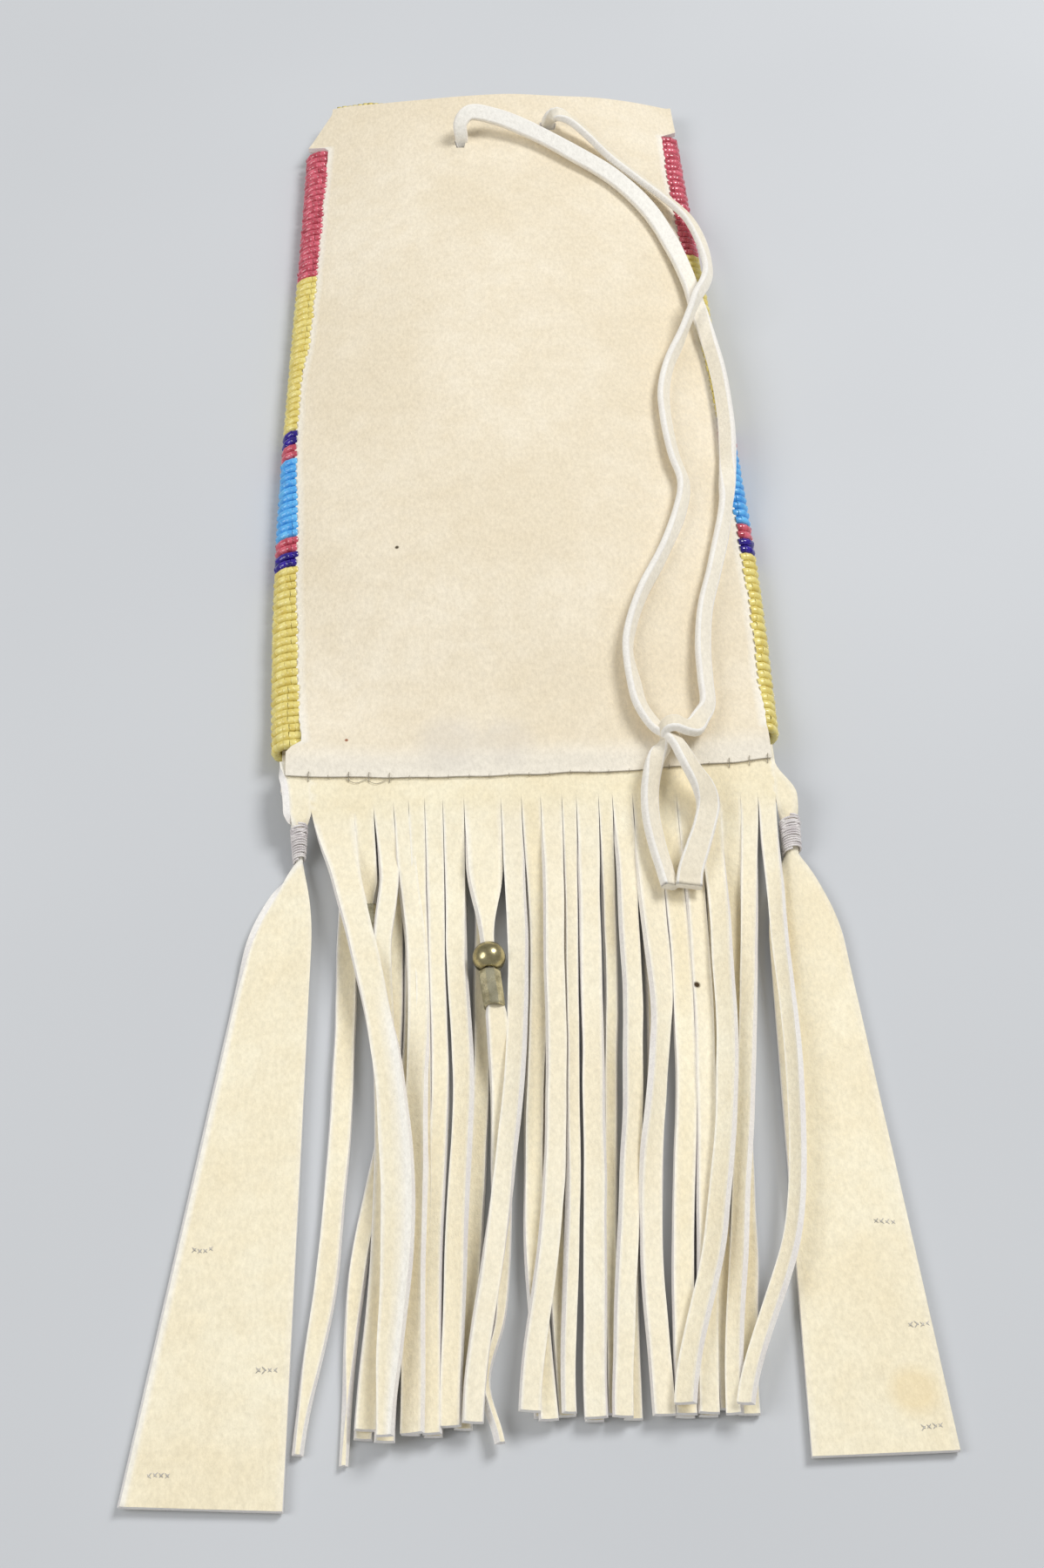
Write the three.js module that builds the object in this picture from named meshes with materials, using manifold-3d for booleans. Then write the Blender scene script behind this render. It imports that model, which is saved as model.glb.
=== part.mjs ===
// Hide mirror bag, lying face down: a flat pouch with a beaded front, bead rows wrapped over its
// side edges, a two-layer fringe with a wide tab at each end, and a lace tied through two holes.
// Millimetres. The bag lies along Y with its mouth at +Y, and Z is up from the surface it lies on.

import * as THREE from 'three';
import { mergeVertices } from 'three/addons/utils/BufferGeometryUtils.js';
import Module from 'manifold-3d';

const wasm = await Module();
wasm.setup();

// Hide and clearances
const hide = 1.3;
const gap = 0.3;
const floorGap = 0.2;

// Bead rows: one row is a ridge, as tall as a bead and one bead diameter along the bag
const rowPitch = 2.1;
const beadHeight = 1.9;
const rowGroove = 0.6;
const crestFlat = 1.1;
const underLeg = 2.5;
const leftLeg = 2.8;
const rightLegBottom = 0.7;
const rightLegTop = 2.4;
const bareBottom = 8.4;
const bareTop = 12.6;
const lipRows = 7;

// Colour bands from the mouth down: colour and rows
const leftBands = [
  ['rose', 22],
  ['yellow', 24],
  ['navy', 2],
  ['rose', 2],
  ['light_blue', 11],
  ['rose', 2],
  ['navy', 2],
  ['yellow', 23],
];
const rightBands = [['rose', 21], ['yellow', 26], ...leftBands.slice(2)];

// Pouch outline over the beads
const widthBottom = 100.8;
const widthTop = 93.4;
const sideBow = 1.8;
const seamRise = 1.4;
const seamSag = 1.8;

// The back panel domes: it is flat above the seam, then its sides and its middle rise to their heights
const pouchDepth = 7;
const flatAboveTuck = 3.5;
const sideRise = 14;
const centreRise = 50;
const domeFullness = 2.2;
const panelCells = 8;
const panelRows = 12;
const seamCrowding = 1.8;

// Fringe
const tuck = 5;
const rootDepth = 6.5;
const strandLength = 119.5;
const strandSteps = 6;
const slit = 0.4;
const rootOverlap = 2;
const descent = 24;
const fringeLeft = -42;
const bandOverhang = 0.3;
const lowerBandEnd = 9.6;

// Upper strands from the left: cut width, resting layer, sideways drift at each quarter, extra length,
// and the width of those that narrow below their roots
const upperStrands = [
  [8.2, 3, [5.8, 10.7, 11.5, 9.4], 1, 5.2],
  [3.8, 1, [1.5, 3.4, 2.7, 0.3], -1],
  [3.8, 1, [1.5, 0.8, 0.4, -0.4], 1],
  [2.9, 1, [2.4, 2.2, 1.3, 0.4], 0],
  [3.1, 1, [0.3, 0.5, -0.3, -2.7], 0],
  [3.5, 1, [-0.2, -0.2, -2.1, -2.6], 0],
  [4.1, 1, [-0.3, 0.1, -1.9, -2.4], -1],
  [7.1, 1, [0.1, 1.2, 0.5, -0.9], 2, 3.7],
  [4, 2, [-0.1, -2.1, -6.5, -11], -1],
  [3.7, 1, [0, -2, -3.6, -2.6], 0],
  [4.1, 2, [-0.9, -2, -4.8, -9.4], -1],
  [2.8, 1, [-1.2, -2.9, -4.9, -6.4], -1],
  [4.3, 1, [-1.2, -2.6, -4.2, -5.8], 0],
  [2.7, 0, [-0.9, -2.9, -4.9, -6.1], -1],
  [3.9, 1, [-0.5, -2.2, -5.3, -8.2], 0],
  [4.3, 1, [-0.5, -2, -5.1, -5.7], 0],
  [4.2, 1, [0.1, -1, -4.2, -5.8], 0],
  [4.1, 1, [-0.2, -1.8, -4.2, -5.9], 0],
  [4.2, 2, [-0.5, -2.3, -7.2, -15], -1],
  [4.1, 0, [-1.6, -3.7, -5.9, -8.4], 0],
  [3.4, 1, [-3.1, -6.8, -11.2, -14.2], -1],
  [3.4, 2, [-1, -1.7, -5.4, -14.6], -2],
];
const leftTubeStrand = 1;
const beadedStrand = 7;

// Lower strands: place at the roots, sideways drift at each quarter, extra length
const lowerWidth = 3.2;
const lowerStrands = [
  [-35.2, [-0.2, -1, -3.1, -7.5], 2],
  [-26.4, [0, -1.4, -7, -8.9], 4],
  [-22.6, [-0.4, -1.8, -6.4, -9.7], 0],
  [-18.4, [-0.2, -0.2, -2.1, -2.6], 0],
  [-8.9, [-1.3, -2.5, -4.7, -7.3], -1],
  [0.5, [0, -1.9, -3.4, -3.6], -1],
  [4.4, [-0.9, -2, -3.8, -3.6], -1],
  [11.1, [-1.2, -2.6, -4.2, -5.8], 0],
  [18.2, [-0.5, -2.2, -5.1, -6.6], 0],
  [22.2, [-0.5, -2, -5, -5.7], -1],
  [26.4, [0, -1.2, -4.2, -6.4], 0],
  [30.6, [-0.2, -1.8, -4.6, -6.9], 0],
  [35, [-1.4, -3.6, -6.1, -8], -1],
];

// Tabs at the ends of the upper fringe hide, gathered into a neck that thread is wrapped round
const neckRadius = 1.25;
const wrapThickness = 0.5;
const wrapLength = 6.4;
const wrapTurns = 5;
const wrapSides = 8;
const neckOverlap = 2.5;
const neckBelowWrap = 1.5;
const gatherLength = 15;
const pleatHeight = 0.8;
const pleats = 2;
const gatherWidth = 1.6;
const gatherCrowding = 1.5;
const tabCells = 8;
const tabRows = 9;
const leftTabLength = 120.1;
const rightTabLength = 114.1;
const tabs = [
  {
    side: 'left',
    neckX: -44.5,
    wrapDrop: 2.7,
    length: leftTabLength,
    top: [-53.2, -41.5],
    bottom: [-70.7, -44.7],
    stitches: [[0.22, 0.254], [0.84, 0.128], [0.21, 0.028]],
  },
  {
    side: 'right',
    neckX: 50,
    wrapDrop: 4.7,
    length: rightTabLength,
    top: [46.6, 55.6],
    bottom: [40.1, 63.4],
    stitches: [[0.79, 0.244], [0.9, 0.126], [0.84, 0.023]],
  },
];

// Brass beads on two strands
const beadRadius = 3.05;
const tubeRadius = 2.1;
const tubeLength = 7.4;
const tubeBevel = 0.4;
const tubeFacets = 8;
const roundBeadRings = 6;
const roundBeadSides = 14;
const beadBore = 1.45;
const threadedWidth = 1.8;
const threadedRun = 3;
const beadDistance = 30.2;
const leftTubeDistance = 20;

// Sewing thread
const thread = 0.4;
const stitchPitch = 3.9;
const stitchReach = 1.6;
const tieLength = 3.6;

// Lace through the back panel, with points chosen as it lies
const laceDiameter = 3.6;
const laceRunSteps = 34;
const laceTailSteps = 5;
const laceHoleClearance = 0.4;
const laceInnerThickness = 1.6;
const holeSides = 12;
const leftHoleBelowMouth = 19.8;
const rightHoleBelowMouth = 13.5;
const leftLace = [
  [-7.6, 186, 10.9], [-7.8, 186.3, 13.6], [-8, 188, 17], [-5.8, 190.6, 18.6], [0.6, 191, 16.6],
  [8.7, 187, 14.5], [19, 179.5, 13.2], [28.4, 172, 11.6], [36, 162.3, 9.8], [41, 150.3, 8.4],
  [43.8, 139, 7.8], [45, 130.2, 7.8], [46.4, 120.5, 7.8], [47.8, 107.5, 7.8], [48, 92, 7.8],
  [47, 79, 7.8], [44.8, 64.4, 8.3], [41, 48.7, 9.4], [38, 37.7, 9.7], [36.6, 27.5, 9.7],
  [36.2, 19, 10.4], [34.4, 12, 11.3], [31.3, 7.5, 11.5],
];
const rightLace = [
  [13.6, 192.3, 10.5], [13.6, 192.3, 12.6], [15.4, 191.7, 15.2], [19.2, 189.4, 14.9],
  [24, 184.8, 13.2], [29, 178.6, 11.7], [35.4, 172.2, 10.1], [41, 167, 8.6], [45.6, 160.6, 8],
  [48.1, 151.4, 8], [48.6, 141.5, 8.6], [46.8, 133.4, 11.4], [44.6, 128.5, 12.2],
  [42.6, 123.5, 11.2], [39.8, 117, 9.6], [36.6, 108.8, 10.1], [34.6, 99.5, 10.7],
  [34.4, 90, 10.8], [35.2, 80, 10.7], [36.6, 72.3, 10.4], [34.9, 63.4, 10.9], [30, 50.7, 11.7],
  [25.3, 41, 11.8], [22.5, 33.2, 11.5], [21.3, 27, 11.1], [21.9, 18.8, 10.8], [23.4, 12, 11.2],
  [25.5, 7.6, 11.5],
];
const leftTail = [
  [24.9, 1, 11.3], [24.1, -1.5, 11.2], [23.2, -5, 9.8], [22.5, -9.5, 8.2], [23.1, -14.5, 6.9],
  [24.2, -20.4, 5.9], [25.4, -25.7, 5.6],
];
const rightTail = [
  [32.2, 1.8, 11.3], [34.8, -1.9, 11.1], [34.8, -6, 9.4], [33.9, -10.9, 8.4], [31.4, -16.5, 7.2],
  [29.6, -22.2, 6.2], [29.2, -26.8, 5.8],
];
const knotCentre = [28.4, 4.2, 11.5];
const knotSize = [8.4, 8, 5.2];

// Heights of the layers at the bottom seam and along the pouch
const layerStep = hide + gap;
const frontTop = beadHeight + gap + hide;
const sideLevel = frontTop + gap;
const upperBandLevel = sideLevel + layerStep;
const seamLevel = upperBandLevel + layerStep;
const lowerHide = { level: sideLevel, layer: 0 };
const upperHide = { level: upperBandLevel, layer: 1 };

// Lengths that follow from the bead rows
const countRows = (bands) => bands.reduce((sum, band) => sum + band[1], 0);
const rowCount = countRows(leftBands);
const laneLength = rowCount * rowPitch;
const laneTop = bareBottom + laneLength;
const pouchHeight = laneTop + bareTop;
const leftHole = [-7.6, pouchHeight - leftHoleBelowMouth];
const rightHole = [13.6, pouchHeight - rightHoleBelowMouth];
const bandEnds = [0];
[...leftBands].reverse().forEach(([, rows]) => bandEnds.push(bandEnds.at(-1) + rows / rowCount));

const { lerp, clamp, smoothstep } = THREE.MathUtils;

const colours = {
  hide: { color: 0xecdcb8, roughness: 0.95, metalness: 0 },
  lace: { color: 0xf3ead8, roughness: 0.95, metalness: 0 },
  thread: { color: 0xb4afb4, roughness: 0.8, metalness: 0 },
  brass: { color: 0x96875a, roughness: 0.3, metalness: 1 },
  rose: { color: 0xb83f62, roughness: 0.25, metalness: 0 },
  yellow: { color: 0xcdbe50, roughness: 0.3, metalness: 0 },
  navy: { color: 0x32148c, roughness: 0.15, metalness: 0 },
  light_blue: { color: 0x50aaeb, roughness: 0.3, metalness: 0 },
};

const bag = new THREE.Group();
const lace = new THREE.Group();

function addMesh(group, name, geometry, colour) {
  const mesh = new THREE.Mesh(geometry, new THREE.MeshStandardMaterial(colours[colour]));
  mesh.name = name;
  group.add(mesh);
  return mesh;
}

// Moves every vertex of a geometry to the point that place gives for it
function reshape(geometry, place) {
  const position = geometry.attributes.position;
  for (let i = 0; i < position.count; i += 1) {
    const [x, y, z] = place(position.getX(i), position.getY(i), position.getZ(i));
    position.setXYZ(i, x, y, z);
  }
  return geometry;
}

// A sheet of cells, bent by place(u, v, w): u and v along the sheet and w through it, from 0 to 1
function bentSheet(cellsU, cellsV, place) {
  const box = new THREE.BoxGeometry(1, 1, 1, cellsU, cellsV, 1);
  return reshape(box, (x, y, z) => place(x + 0.5, y + 0.5, z + 0.5));
}

function toSolid(geometry) {
  const bare = geometry.clone();
  bare.deleteAttribute('normal');
  bare.deleteAttribute('uv');
  const merged = mergeVertices(bare);
  const vertProperties = Float32Array.from(merged.attributes.position.array);
  const triVerts = Uint32Array.from(merged.index.array);
  return new wasm.Manifold(new wasm.Mesh({ numProp: 3, vertProperties, triVerts }));
}

function toGeometry(solid) {
  const mesh = solid.getMesh();
  const geometry = new THREE.BufferGeometry();
  geometry.setAttribute('position', new THREE.BufferAttribute(mesh.vertProperties, 3));
  geometry.setIndex(new THREE.BufferAttribute(mesh.triVerts, 1));
  geometry.computeVertexNormals();
  return geometry;
}

function union(geometries) {
  return toGeometry(geometries.map(toSolid).reduce((whole, piece) => whole.add(piece)));
}

// A closed profile of [radius, height] turned round Y
function turned(profile, segments) {
  const points = profile.map(([radius, height]) => new THREE.Vector2(radius, height));
  return new THREE.LatheGeometry([...points, points[0]], segments);
}

// Pouch outline

function laneShare(y) {
  return (y - bareBottom) / laneLength;
}

// The sides bow out most at a third of the way up, where the cubic peaks at 4 / 27
function bowedHalfWidth(share) {
  const bow = sideBow * (27 / 4) * share * (1 - share) ** 2;
  return lerp(widthBottom, widthTop, share) / 2 + bow;
}

// The sides are straight along each colour band
function halfWidth(y) {
  const share = laneShare(y);
  const above = clamp(bandEnds.findIndex((end) => end >= share), 1, bandEnds.length - 1);
  const upper = share > 1 ? bandEnds.length - 1 : above;
  const low = bandEnds[upper - 1];
  const high = bandEnds[upper];
  return lerp(bowedHalfWidth(low), bowedHalfWidth(high), (share - low) / (high - low));
}

function hideEdge(y) {
  return halfWidth(y) - beadHeight - gap;
}

// How far the edge rows of one side reach over the back of the hide
function overLeg(side, y) {
  return side < 0 ? leftLeg : lerp(rightLegBottom, rightLegTop, laneShare(y));
}

function backEdge(side, y) {
  return side * (hideEdge(y) - overLeg(side, y) - gap);
}

// Underside of the back panel at share s of its half width and distance y above the seam
function backUnderside(s, y) {
  const flatEnd = tuck + flatAboveTuck;
  const edge = lerp(seamLevel, sideLevel, smoothstep(y, flatEnd, flatEnd + sideRise));
  const centre = lerp(seamLevel, sideLevel + pouchDepth, smoothstep(y, flatEnd, flatEnd + centreRise));
  return edge + (centre - edge) * (1 - Math.abs(s) ** domeFullness);
}

function backUndersideAt(x, y) {
  const left = backEdge(-1, y);
  const right = backEdge(1, y);
  return backUnderside((2 * (x - left)) / (right - left) - 1, y);
}

function seamLine(s) {
  return seamRise - seamSag * (1 - s * s);
}

function frontPanel() {
  const along = bandEnds.map((share) => bareBottom + share * laneLength);
  const stations = [0, ...along, laneTop + lipRows * rowPitch];
  const last = stations.length - 1;
  return bentSheet(1, last, (u, v, w) => {
    const y = stations[Math.round(v * last)];
    return [lerp(-1, 1, u) * hideEdge(y), y, beadHeight + gap + w * hide];
  });
}

function laceHole([x, y]) {
  const radius = laceDiameter / 2 + laceHoleClearance;
  const cutter = new THREE.CylinderGeometry(radius, radius, pouchDepth, holeSides);
  cutter.rotateX(Math.PI / 2);
  cutter.translate(x, y, backUndersideAt(x, y) + hide / 2);
  return toSolid(cutter);
}

function backPanel() {
  const sheet = bentSheet(panelCells, panelRows, (u, v, w) => {
    const s = lerp(-1, 1, u);
    const y = lerp(seamLine(s), pouchHeight, v ** seamCrowding);
    const x = lerp(backEdge(-1, y), backEdge(1, y), u);
    return [x, y, backUnderside(s, y) + w * hide];
  });
  const pierced = toSolid(sheet).subtract(laceHole(leftHole)).subtract(laceHole(rightHole));
  return toGeometry(pierced);
}

// Beadwork

// Side view of a run of bead rows: along the bag, and out from the hide
function rowProfile(bottom, rows, flat) {
  const top = bottom + rows * rowPitch;
  const valley = beadHeight - rowGroove;
  const profile = new THREE.Shape();
  profile.moveTo(bottom + gap / 2, 0);
  profile.lineTo(top - gap / 2, 0);
  profile.lineTo(top - gap / 2, valley);
  for (let row = rows - 1; row >= 0; row -= 1) {
    const middle = bottom + (row + 0.5) * rowPitch;
    profile.lineTo(middle + flat / 2, beadHeight);
    if (flat > 0) {
      profile.lineTo(middle - flat / 2, beadHeight);
    }
    if (row > 0) {
      profile.lineTo(bottom + row * rowPitch, valley);
    }
  }
  profile.lineTo(bottom + gap / 2, valley);
  return profile;
}

// Channel round the hide's edge: x, z and the way out from the hide, from below round to the back
function channel(side, y) {
  const edge = hideEdge(y);
  return [
    [edge - underLeg, beadHeight, 0, -1],
    [edge + gap, beadHeight, 1, -1],
    [edge + gap, sideLevel - gap, 1, 0],
    [edge, sideLevel, 0, 1],
    [edge - overLeg(side, y), sideLevel, 0, 1],
  ];
}

function edgeBand(side, bottom, rows) {
  const steps = channel(side, bottom).length - 1;
  const profile = rowProfile(bottom, rows, 0);
  const run = new THREE.ExtrudeGeometry(profile, { depth: steps, steps, bevelEnabled: false });
  return reshape(run, (y, out, along) => {
    const step = Math.round(side < 0 ? along : steps - along);
    const [x, z, outX, outZ] = channel(side, y)[step];
    return [side * (x + outX * out), y, z + outZ * out];
  });
}

function frontBand(bottom, rows) {
  const profile = rowProfile(bottom, rows, crestFlat);
  const run = new THREE.ExtrudeGeometry(profile, { depth: 1, steps: 1, bevelEnabled: false });
  return reshape(run, (y, out, along) => {
    const reach = hideEdge(y) - underLeg - gap;
    return [lerp(reach, -reach, along), y, beadHeight - out];
  });
}

function addBands(prefix, bands, make) {
  let bottom = bareBottom + countRows(bands) * rowPitch;
  bands.forEach(([colour, rows], index) => {
    bottom -= rows * rowPitch;
    addMesh(bag, `${prefix}_${index + 1}_${colour}`, make(bottom, rows), colour);
  });
}

// Fringe

function restHeight(layer) {
  return floorGap + layer * layerStep;
}

// Underside of a fringe hide as it comes down from the seam to the layer that it rests on
function hideHeight(fringe, y) {
  return lerp(fringe.level, restHeight(fringe.layer), smoothstep(-y, 0, descent));
}

// Underside of a strand, which leaves its hide's layer for its own below the roots
function strandHeight(fringe, layer, y) {
  const shift = restHeight(layer) - restHeight(fringe.layer);
  return hideHeight(fringe, y) + shift * smoothstep(-y, rootDepth, rootDepth + descent);
}

// A flat strip through stations of [x, y, z, width, thickness], with z on its underside
function ribbon(stations) {
  const last = stations.length - 1;
  return bentSheet(1, last, (u, v, w) => {
    const i = Math.round(v * last);
    const [x, y, z, width, thickness] = stations[i];
    const before = stations[Math.max(i - 1, 0)];
    const after = stations[Math.min(i + 1, last)];
    const run = new THREE.Vector2(after[0] - before[0], after[1] - before[1]).normalize();
    const offset = (u - 0.5) * width;
    return [x + offset * run.y, y - offset * run.x, z + w * thickness];
  });
}

// Drift of a strand at a share of its length, from its drift at each quarter
function driftAt(drift, share) {
  const curve = new THREE.SplineCurve([0, ...drift].map((x) => new THREE.Vector2(x, 0)));
  return curve.getPoint(share).x;
}

// Stations of a strand from its tip up to its root, which ends inside the band
function strandStations(fringe, layer, rootX, width, drift, length) {
  const stations = [];
  for (let step = strandSteps; step >= 0; step -= 1) {
    const share = step / strandSteps;
    const y = -rootDepth - share * length;
    const x = rootX + driftAt(drift, share);
    stations.push([x, y, strandHeight(fringe, layer, y), width, hide]);
  }
  const inset = hide / 6;
  const rootY = -rootDepth + rootOverlap;
  stations.push([rootX, rootY, hideHeight(fringe, rootY) + inset, width, hide - 2 * inset]);
  return stations;
}

// A strand that narrows to pass through beads at x, between two distances from its root
function threadedStations(stations, x, from, to, lift) {
  const above = -rootDepth - from;
  const below = -rootDepth - to;
  const passes = [below, above].map((y) => [x, y, lift - hide / 2, threadedWidth, hide]);
  return [
    ...stations.filter(([, y]) => y < below - threadedRun),
    ...passes,
    ...stations.filter(([, y]) => y > above + threadedRun),
  ];
}

function fringeBand(fringe, left, right) {
  return bentSheet(1, 3, (u, v, w) => {
    const y = lerp(-rootDepth, tuck, v);
    return [lerp(left(y), right(y), u), y, hideHeight(fringe, y) + w * hide];
  });
}

function upperLeftEdge(y) {
  return lerp(tabs[0].neckX - neckRadius - gap, -hideEdge(0), (y + rootDepth) / (tuck + rootDepth));
}

function upperRightEdge(y) {
  return lerp(tabs[1].neckX + neckRadius + gap, hideEdge(0), (y + rootDepth) / (tuck + rootDepth));
}

// Neck of a tab: from inside the band, through the wrap, to the gathered top of the tab
function neckEnds(tab) {
  const topY = -rootDepth + neckOverlap;
  const bottomY = -rootDepth - tab.wrapDrop - wrapLength - neckBelowWrap;
  const topZ = hideHeight(upperHide, topY) + hide / 2;
  const top = new THREE.Vector3(tab.neckX, topY, topZ);
  const bottom = new THREE.Vector3(tab.neckX, bottomY, floorGap + neckRadius + wrapThickness + gap);
  return { top, bottom };
}

function neck(tab) {
  const { top, bottom } = neckEnds(tab);
  const run = new THREE.LineCurve3(bottom, top);
  const section = new THREE.Shape().absarc(0, 0, neckRadius, 0, 2 * Math.PI);
  const options = { steps: 1, curveSegments: 5, bevelEnabled: false, extrudePath: run };
  return new THREE.ExtrudeGeometry(section, options);
}

// Point of a tab: u from its left to its right edge, v from its bottom up, w through the hide.
// Its top is gathered to a square that lies inside the neck, and its rows crowd towards the gather.
function tabPoint(tab, u, v, w) {
  const { bottom } = neckEnds(tab);
  const topY = bottom.y + neckRadius;
  const below = tab.length * (1 - v) ** gatherCrowding;
  const spread = smoothstep(below, 0, gatherLength);
  const left = lerp(tab.top[0], tab.bottom[0], below / tab.length);
  const right = lerp(tab.top[1], tab.bottom[1], below / tab.length);
  const gathered = gatherWidth / 2;
  const narrow = tab.neckX + lerp(-gathered, gathered, u);
  const open = smoothstep(below, 0, 2 * gatherLength);
  const ruffle = pleatHeight * Math.sin(pleats * Math.PI * u) ** 2 * 4 * open * (1 - open);
  const base = lerp(bottom.z - gathered, floorGap, spread) + ruffle;
  const thickness = lerp(gatherWidth, hide, spread);
  return [lerp(narrow, lerp(left, right, u), spread), topY - below, base + w * thickness];
}

function tabSheet(tab) {
  return bentSheet(tabCells, tabRows, (u, v, w) => tabPoint(tab, u, v, w));
}

// Upper fringe hide: band, strands and both tabs, cut from one piece
const upperRoots = upperStrands.map(([width], index) => {
  const before = upperStrands.slice(0, index).reduce((sum, strand) => sum + strand[0], 0);
  return fringeLeft + before + width / 2;
});

const beadLift = restHeight(1) + beadRadius;
const leftTubeLift = floorGap + tubeRadius;

function upperStrand(index) {
  const width = upperStrands[index][0] - slit;
  const [, layer, drift, extra, lyingWidth = width] = upperStrands[index];
  const length = strandLength + extra;
  const stations = strandStations(upperHide, layer, upperRoots[index], width, drift, length);
  stations.slice(0, -2).forEach((station) => {
    station[3] = lyingWidth;
  });
  if (index === beadedStrand) {
    const { x } = onStrand(index, beadDistance, beadLift);
    const to = beadDistance + 2 * beadRadius + tubeLength;
    return ribbon(threadedStations(stations, x, beadDistance, to, beadLift));
  }
  if (index === leftTubeStrand) {
    const { x } = onStrand(index, leftTubeDistance, leftTubeLift);
    const to = leftTubeDistance + tubeLength;
    return ribbon(threadedStations(stations, x, leftTubeDistance, to, leftTubeLift));
  }
  return ribbon(stations);
}

function upperFringe() {
  const pieces = [fringeBand(upperHide, upperLeftEdge, upperRightEdge)];
  upperStrands.forEach((strand, index) => pieces.push(upperStrand(index)));
  tabs.forEach((tab) => pieces.push(neck(tab), tabSheet(tab)));
  return union(pieces);
}

function lowerFringe() {
  const left = () => lowerStrands[0][0] - lowerWidth / 2 - bandOverhang;
  const right = () => lowerStrands.at(-1)[0] + lowerBandEnd;
  const pieces = [fringeBand(lowerHide, left, right)];
  lowerStrands.forEach(([rootX, drift, extra]) => {
    const length = strandLength + extra;
    pieces.push(ribbon(strandStations(lowerHide, 0, rootX, lowerWidth, drift, length)));
  });
  return union(pieces);
}

// Thread

function neckWrap() {
  const inner = neckRadius + gap;
  const outer = inner + wrapThickness;
  const turn = wrapLength / wrapTurns;
  const profile = [[inner, 0], [outer - wrapThickness / 2, 0]];
  for (let i = 0; i < wrapTurns; i += 1) {
    profile.push([outer, (i + 0.5) * turn]);
    profile.push([outer - wrapThickness / 2, (i + 1) * turn]);
  }
  profile.push([inner, wrapLength]);
  return turned(profile, wrapSides);
}

function addNeckWrap(tab) {
  const { top, bottom } = neckEnds(tab);
  const along = top.clone().sub(bottom).normalize();
  const wrap = addMesh(bag, `${tab.side}_neck_wrap`, neckWrap(), 'thread');
  wrap.quaternion.setFromUnitVectors(new THREE.Vector3(0, 1, 0), along);
  const wrapBottom = -rootDepth - tab.wrapDrop - wrapLength * along.y;
  wrap.position.copy(bottom).addScaledVector(along, (wrapBottom - bottom.y) / along.y);
}

// Whip stitches over the back panel's lower edge, on one thread that runs along inside their feet
function seamThread() {
  const left = backEdge(-1, 0);
  const right = backEdge(1, 0);
  const first = left + stitchPitch / 2;
  const count = Math.floor((right - first) / stitchPitch);
  const last = first + count * stitchPitch;
  const edgeY = (x) => seamLine((2 * (x - left)) / (right - left) - 1) - gap;
  const base = seamLevel + thread / 2;
  const top = seamLevel + hide + gap + thread;
  const reach = thread + gap + stitchReach;
  const side = new THREE.Shape();
  side.moveTo(0, base);
  side.lineTo(0, top);
  side.lineTo(reach, top);
  side.lineTo(reach, top - thread);
  side.lineTo(thread, top - thread);
  side.lineTo(thread, base);
  const run = bentSheet(count, 1, (u, v, w) => {
    const x = lerp(first - thread, last + thread, u);
    const inside = thread / 4;
    const y = edgeY(x) - lerp(thread - inside, inside, v);
    return [x, y, base + lerp(inside, thread - inside, w)];
  });
  const pieces = [run];
  for (let i = 0; i <= count; i += 1) {
    const x = first + i * stitchPitch;
    const stitch = new THREE.ExtrudeGeometry(side, { depth: thread, bevelEnabled: false });
    pieces.push(reshape(stitch, (y, z, across) => [x - thread / 2 + across, edgeY(x) - thread + y, z]));
  }
  return union(pieces);
}

// A short tie-off stitch lying on a tab
function tieStitch(tab, [u, v]) {
  const [x, y, z] = tabPoint(tab, u, v, 1);
  const arch = bentSheet(4, 1, (a, b, w) => {
    const rise = thread * Math.sin(Math.PI * a);
    return [x + (a - 0.5) * tieLength, y + (b - 0.5) * 2 * thread, z + gap / 2 + rise + w * thread];
  });
  return arch;
}

// Brass

function roundBead() {
  const limit = Math.acos(beadBore / beadRadius);
  const profile = [];
  for (let i = 0; i <= roundBeadRings; i += 1) {
    const angle = lerp(-limit, limit, i / roundBeadRings);
    profile.push([beadRadius * Math.cos(angle), beadRadius * Math.sin(angle)]);
  }
  return turned(profile, roundBeadSides);
}

function tubeBead() {
  const profile = [
    [beadBore, 0],
    [tubeRadius - tubeBevel, 0],
    [tubeRadius, tubeBevel],
    [tubeRadius, tubeLength - tubeBevel],
    [tubeRadius - tubeBevel, tubeLength],
    [beadBore, tubeLength],
  ];
  return turned(profile, tubeFacets);
}

// Place of a bead on a strand, at a distance from its root
function onStrand(index, distance, lift) {
  const [, , drift, extra] = upperStrands[index];
  const share = distance / (strandLength + extra);
  const x = upperRoots[index] + driftAt(drift, share);
  return new THREE.Vector3(x, -rootDepth - distance, lift);
}

function addBrass() {
  const round = addMesh(bag, 'round_brass_bead', roundBead(), 'brass');
  const middle = onStrand(beadedStrand, beadDistance, beadLift);
  round.position.copy(middle);
  round.position.y -= beadRadius;
  const tube = addMesh(bag, 'middle_tube_bead', tubeBead(), 'brass');
  tube.position.copy(middle);
  tube.position.y -= 2 * beadRadius + tubeLength;
  const leftTube = addMesh(bag, 'left_tube_bead', tubeBead(), 'brass');
  leftTube.position.copy(onStrand(leftTubeStrand, leftTubeDistance, leftTubeLift));
  leftTube.position.y -= tubeLength;
}

// Lace

function laceTube(points, steps) {
  const path = new THREE.CatmullRomCurve3(points.map((point) => new THREE.Vector3(...point)));
  const section = new THREE.Shape().absarc(0, 0, laceDiameter / 2, 0, 2 * Math.PI);
  const options = { steps, curveSegments: 4, bevelEnabled: false, extrudePath: path };
  return new THREE.ExtrudeGeometry(section, options);
}

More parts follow.
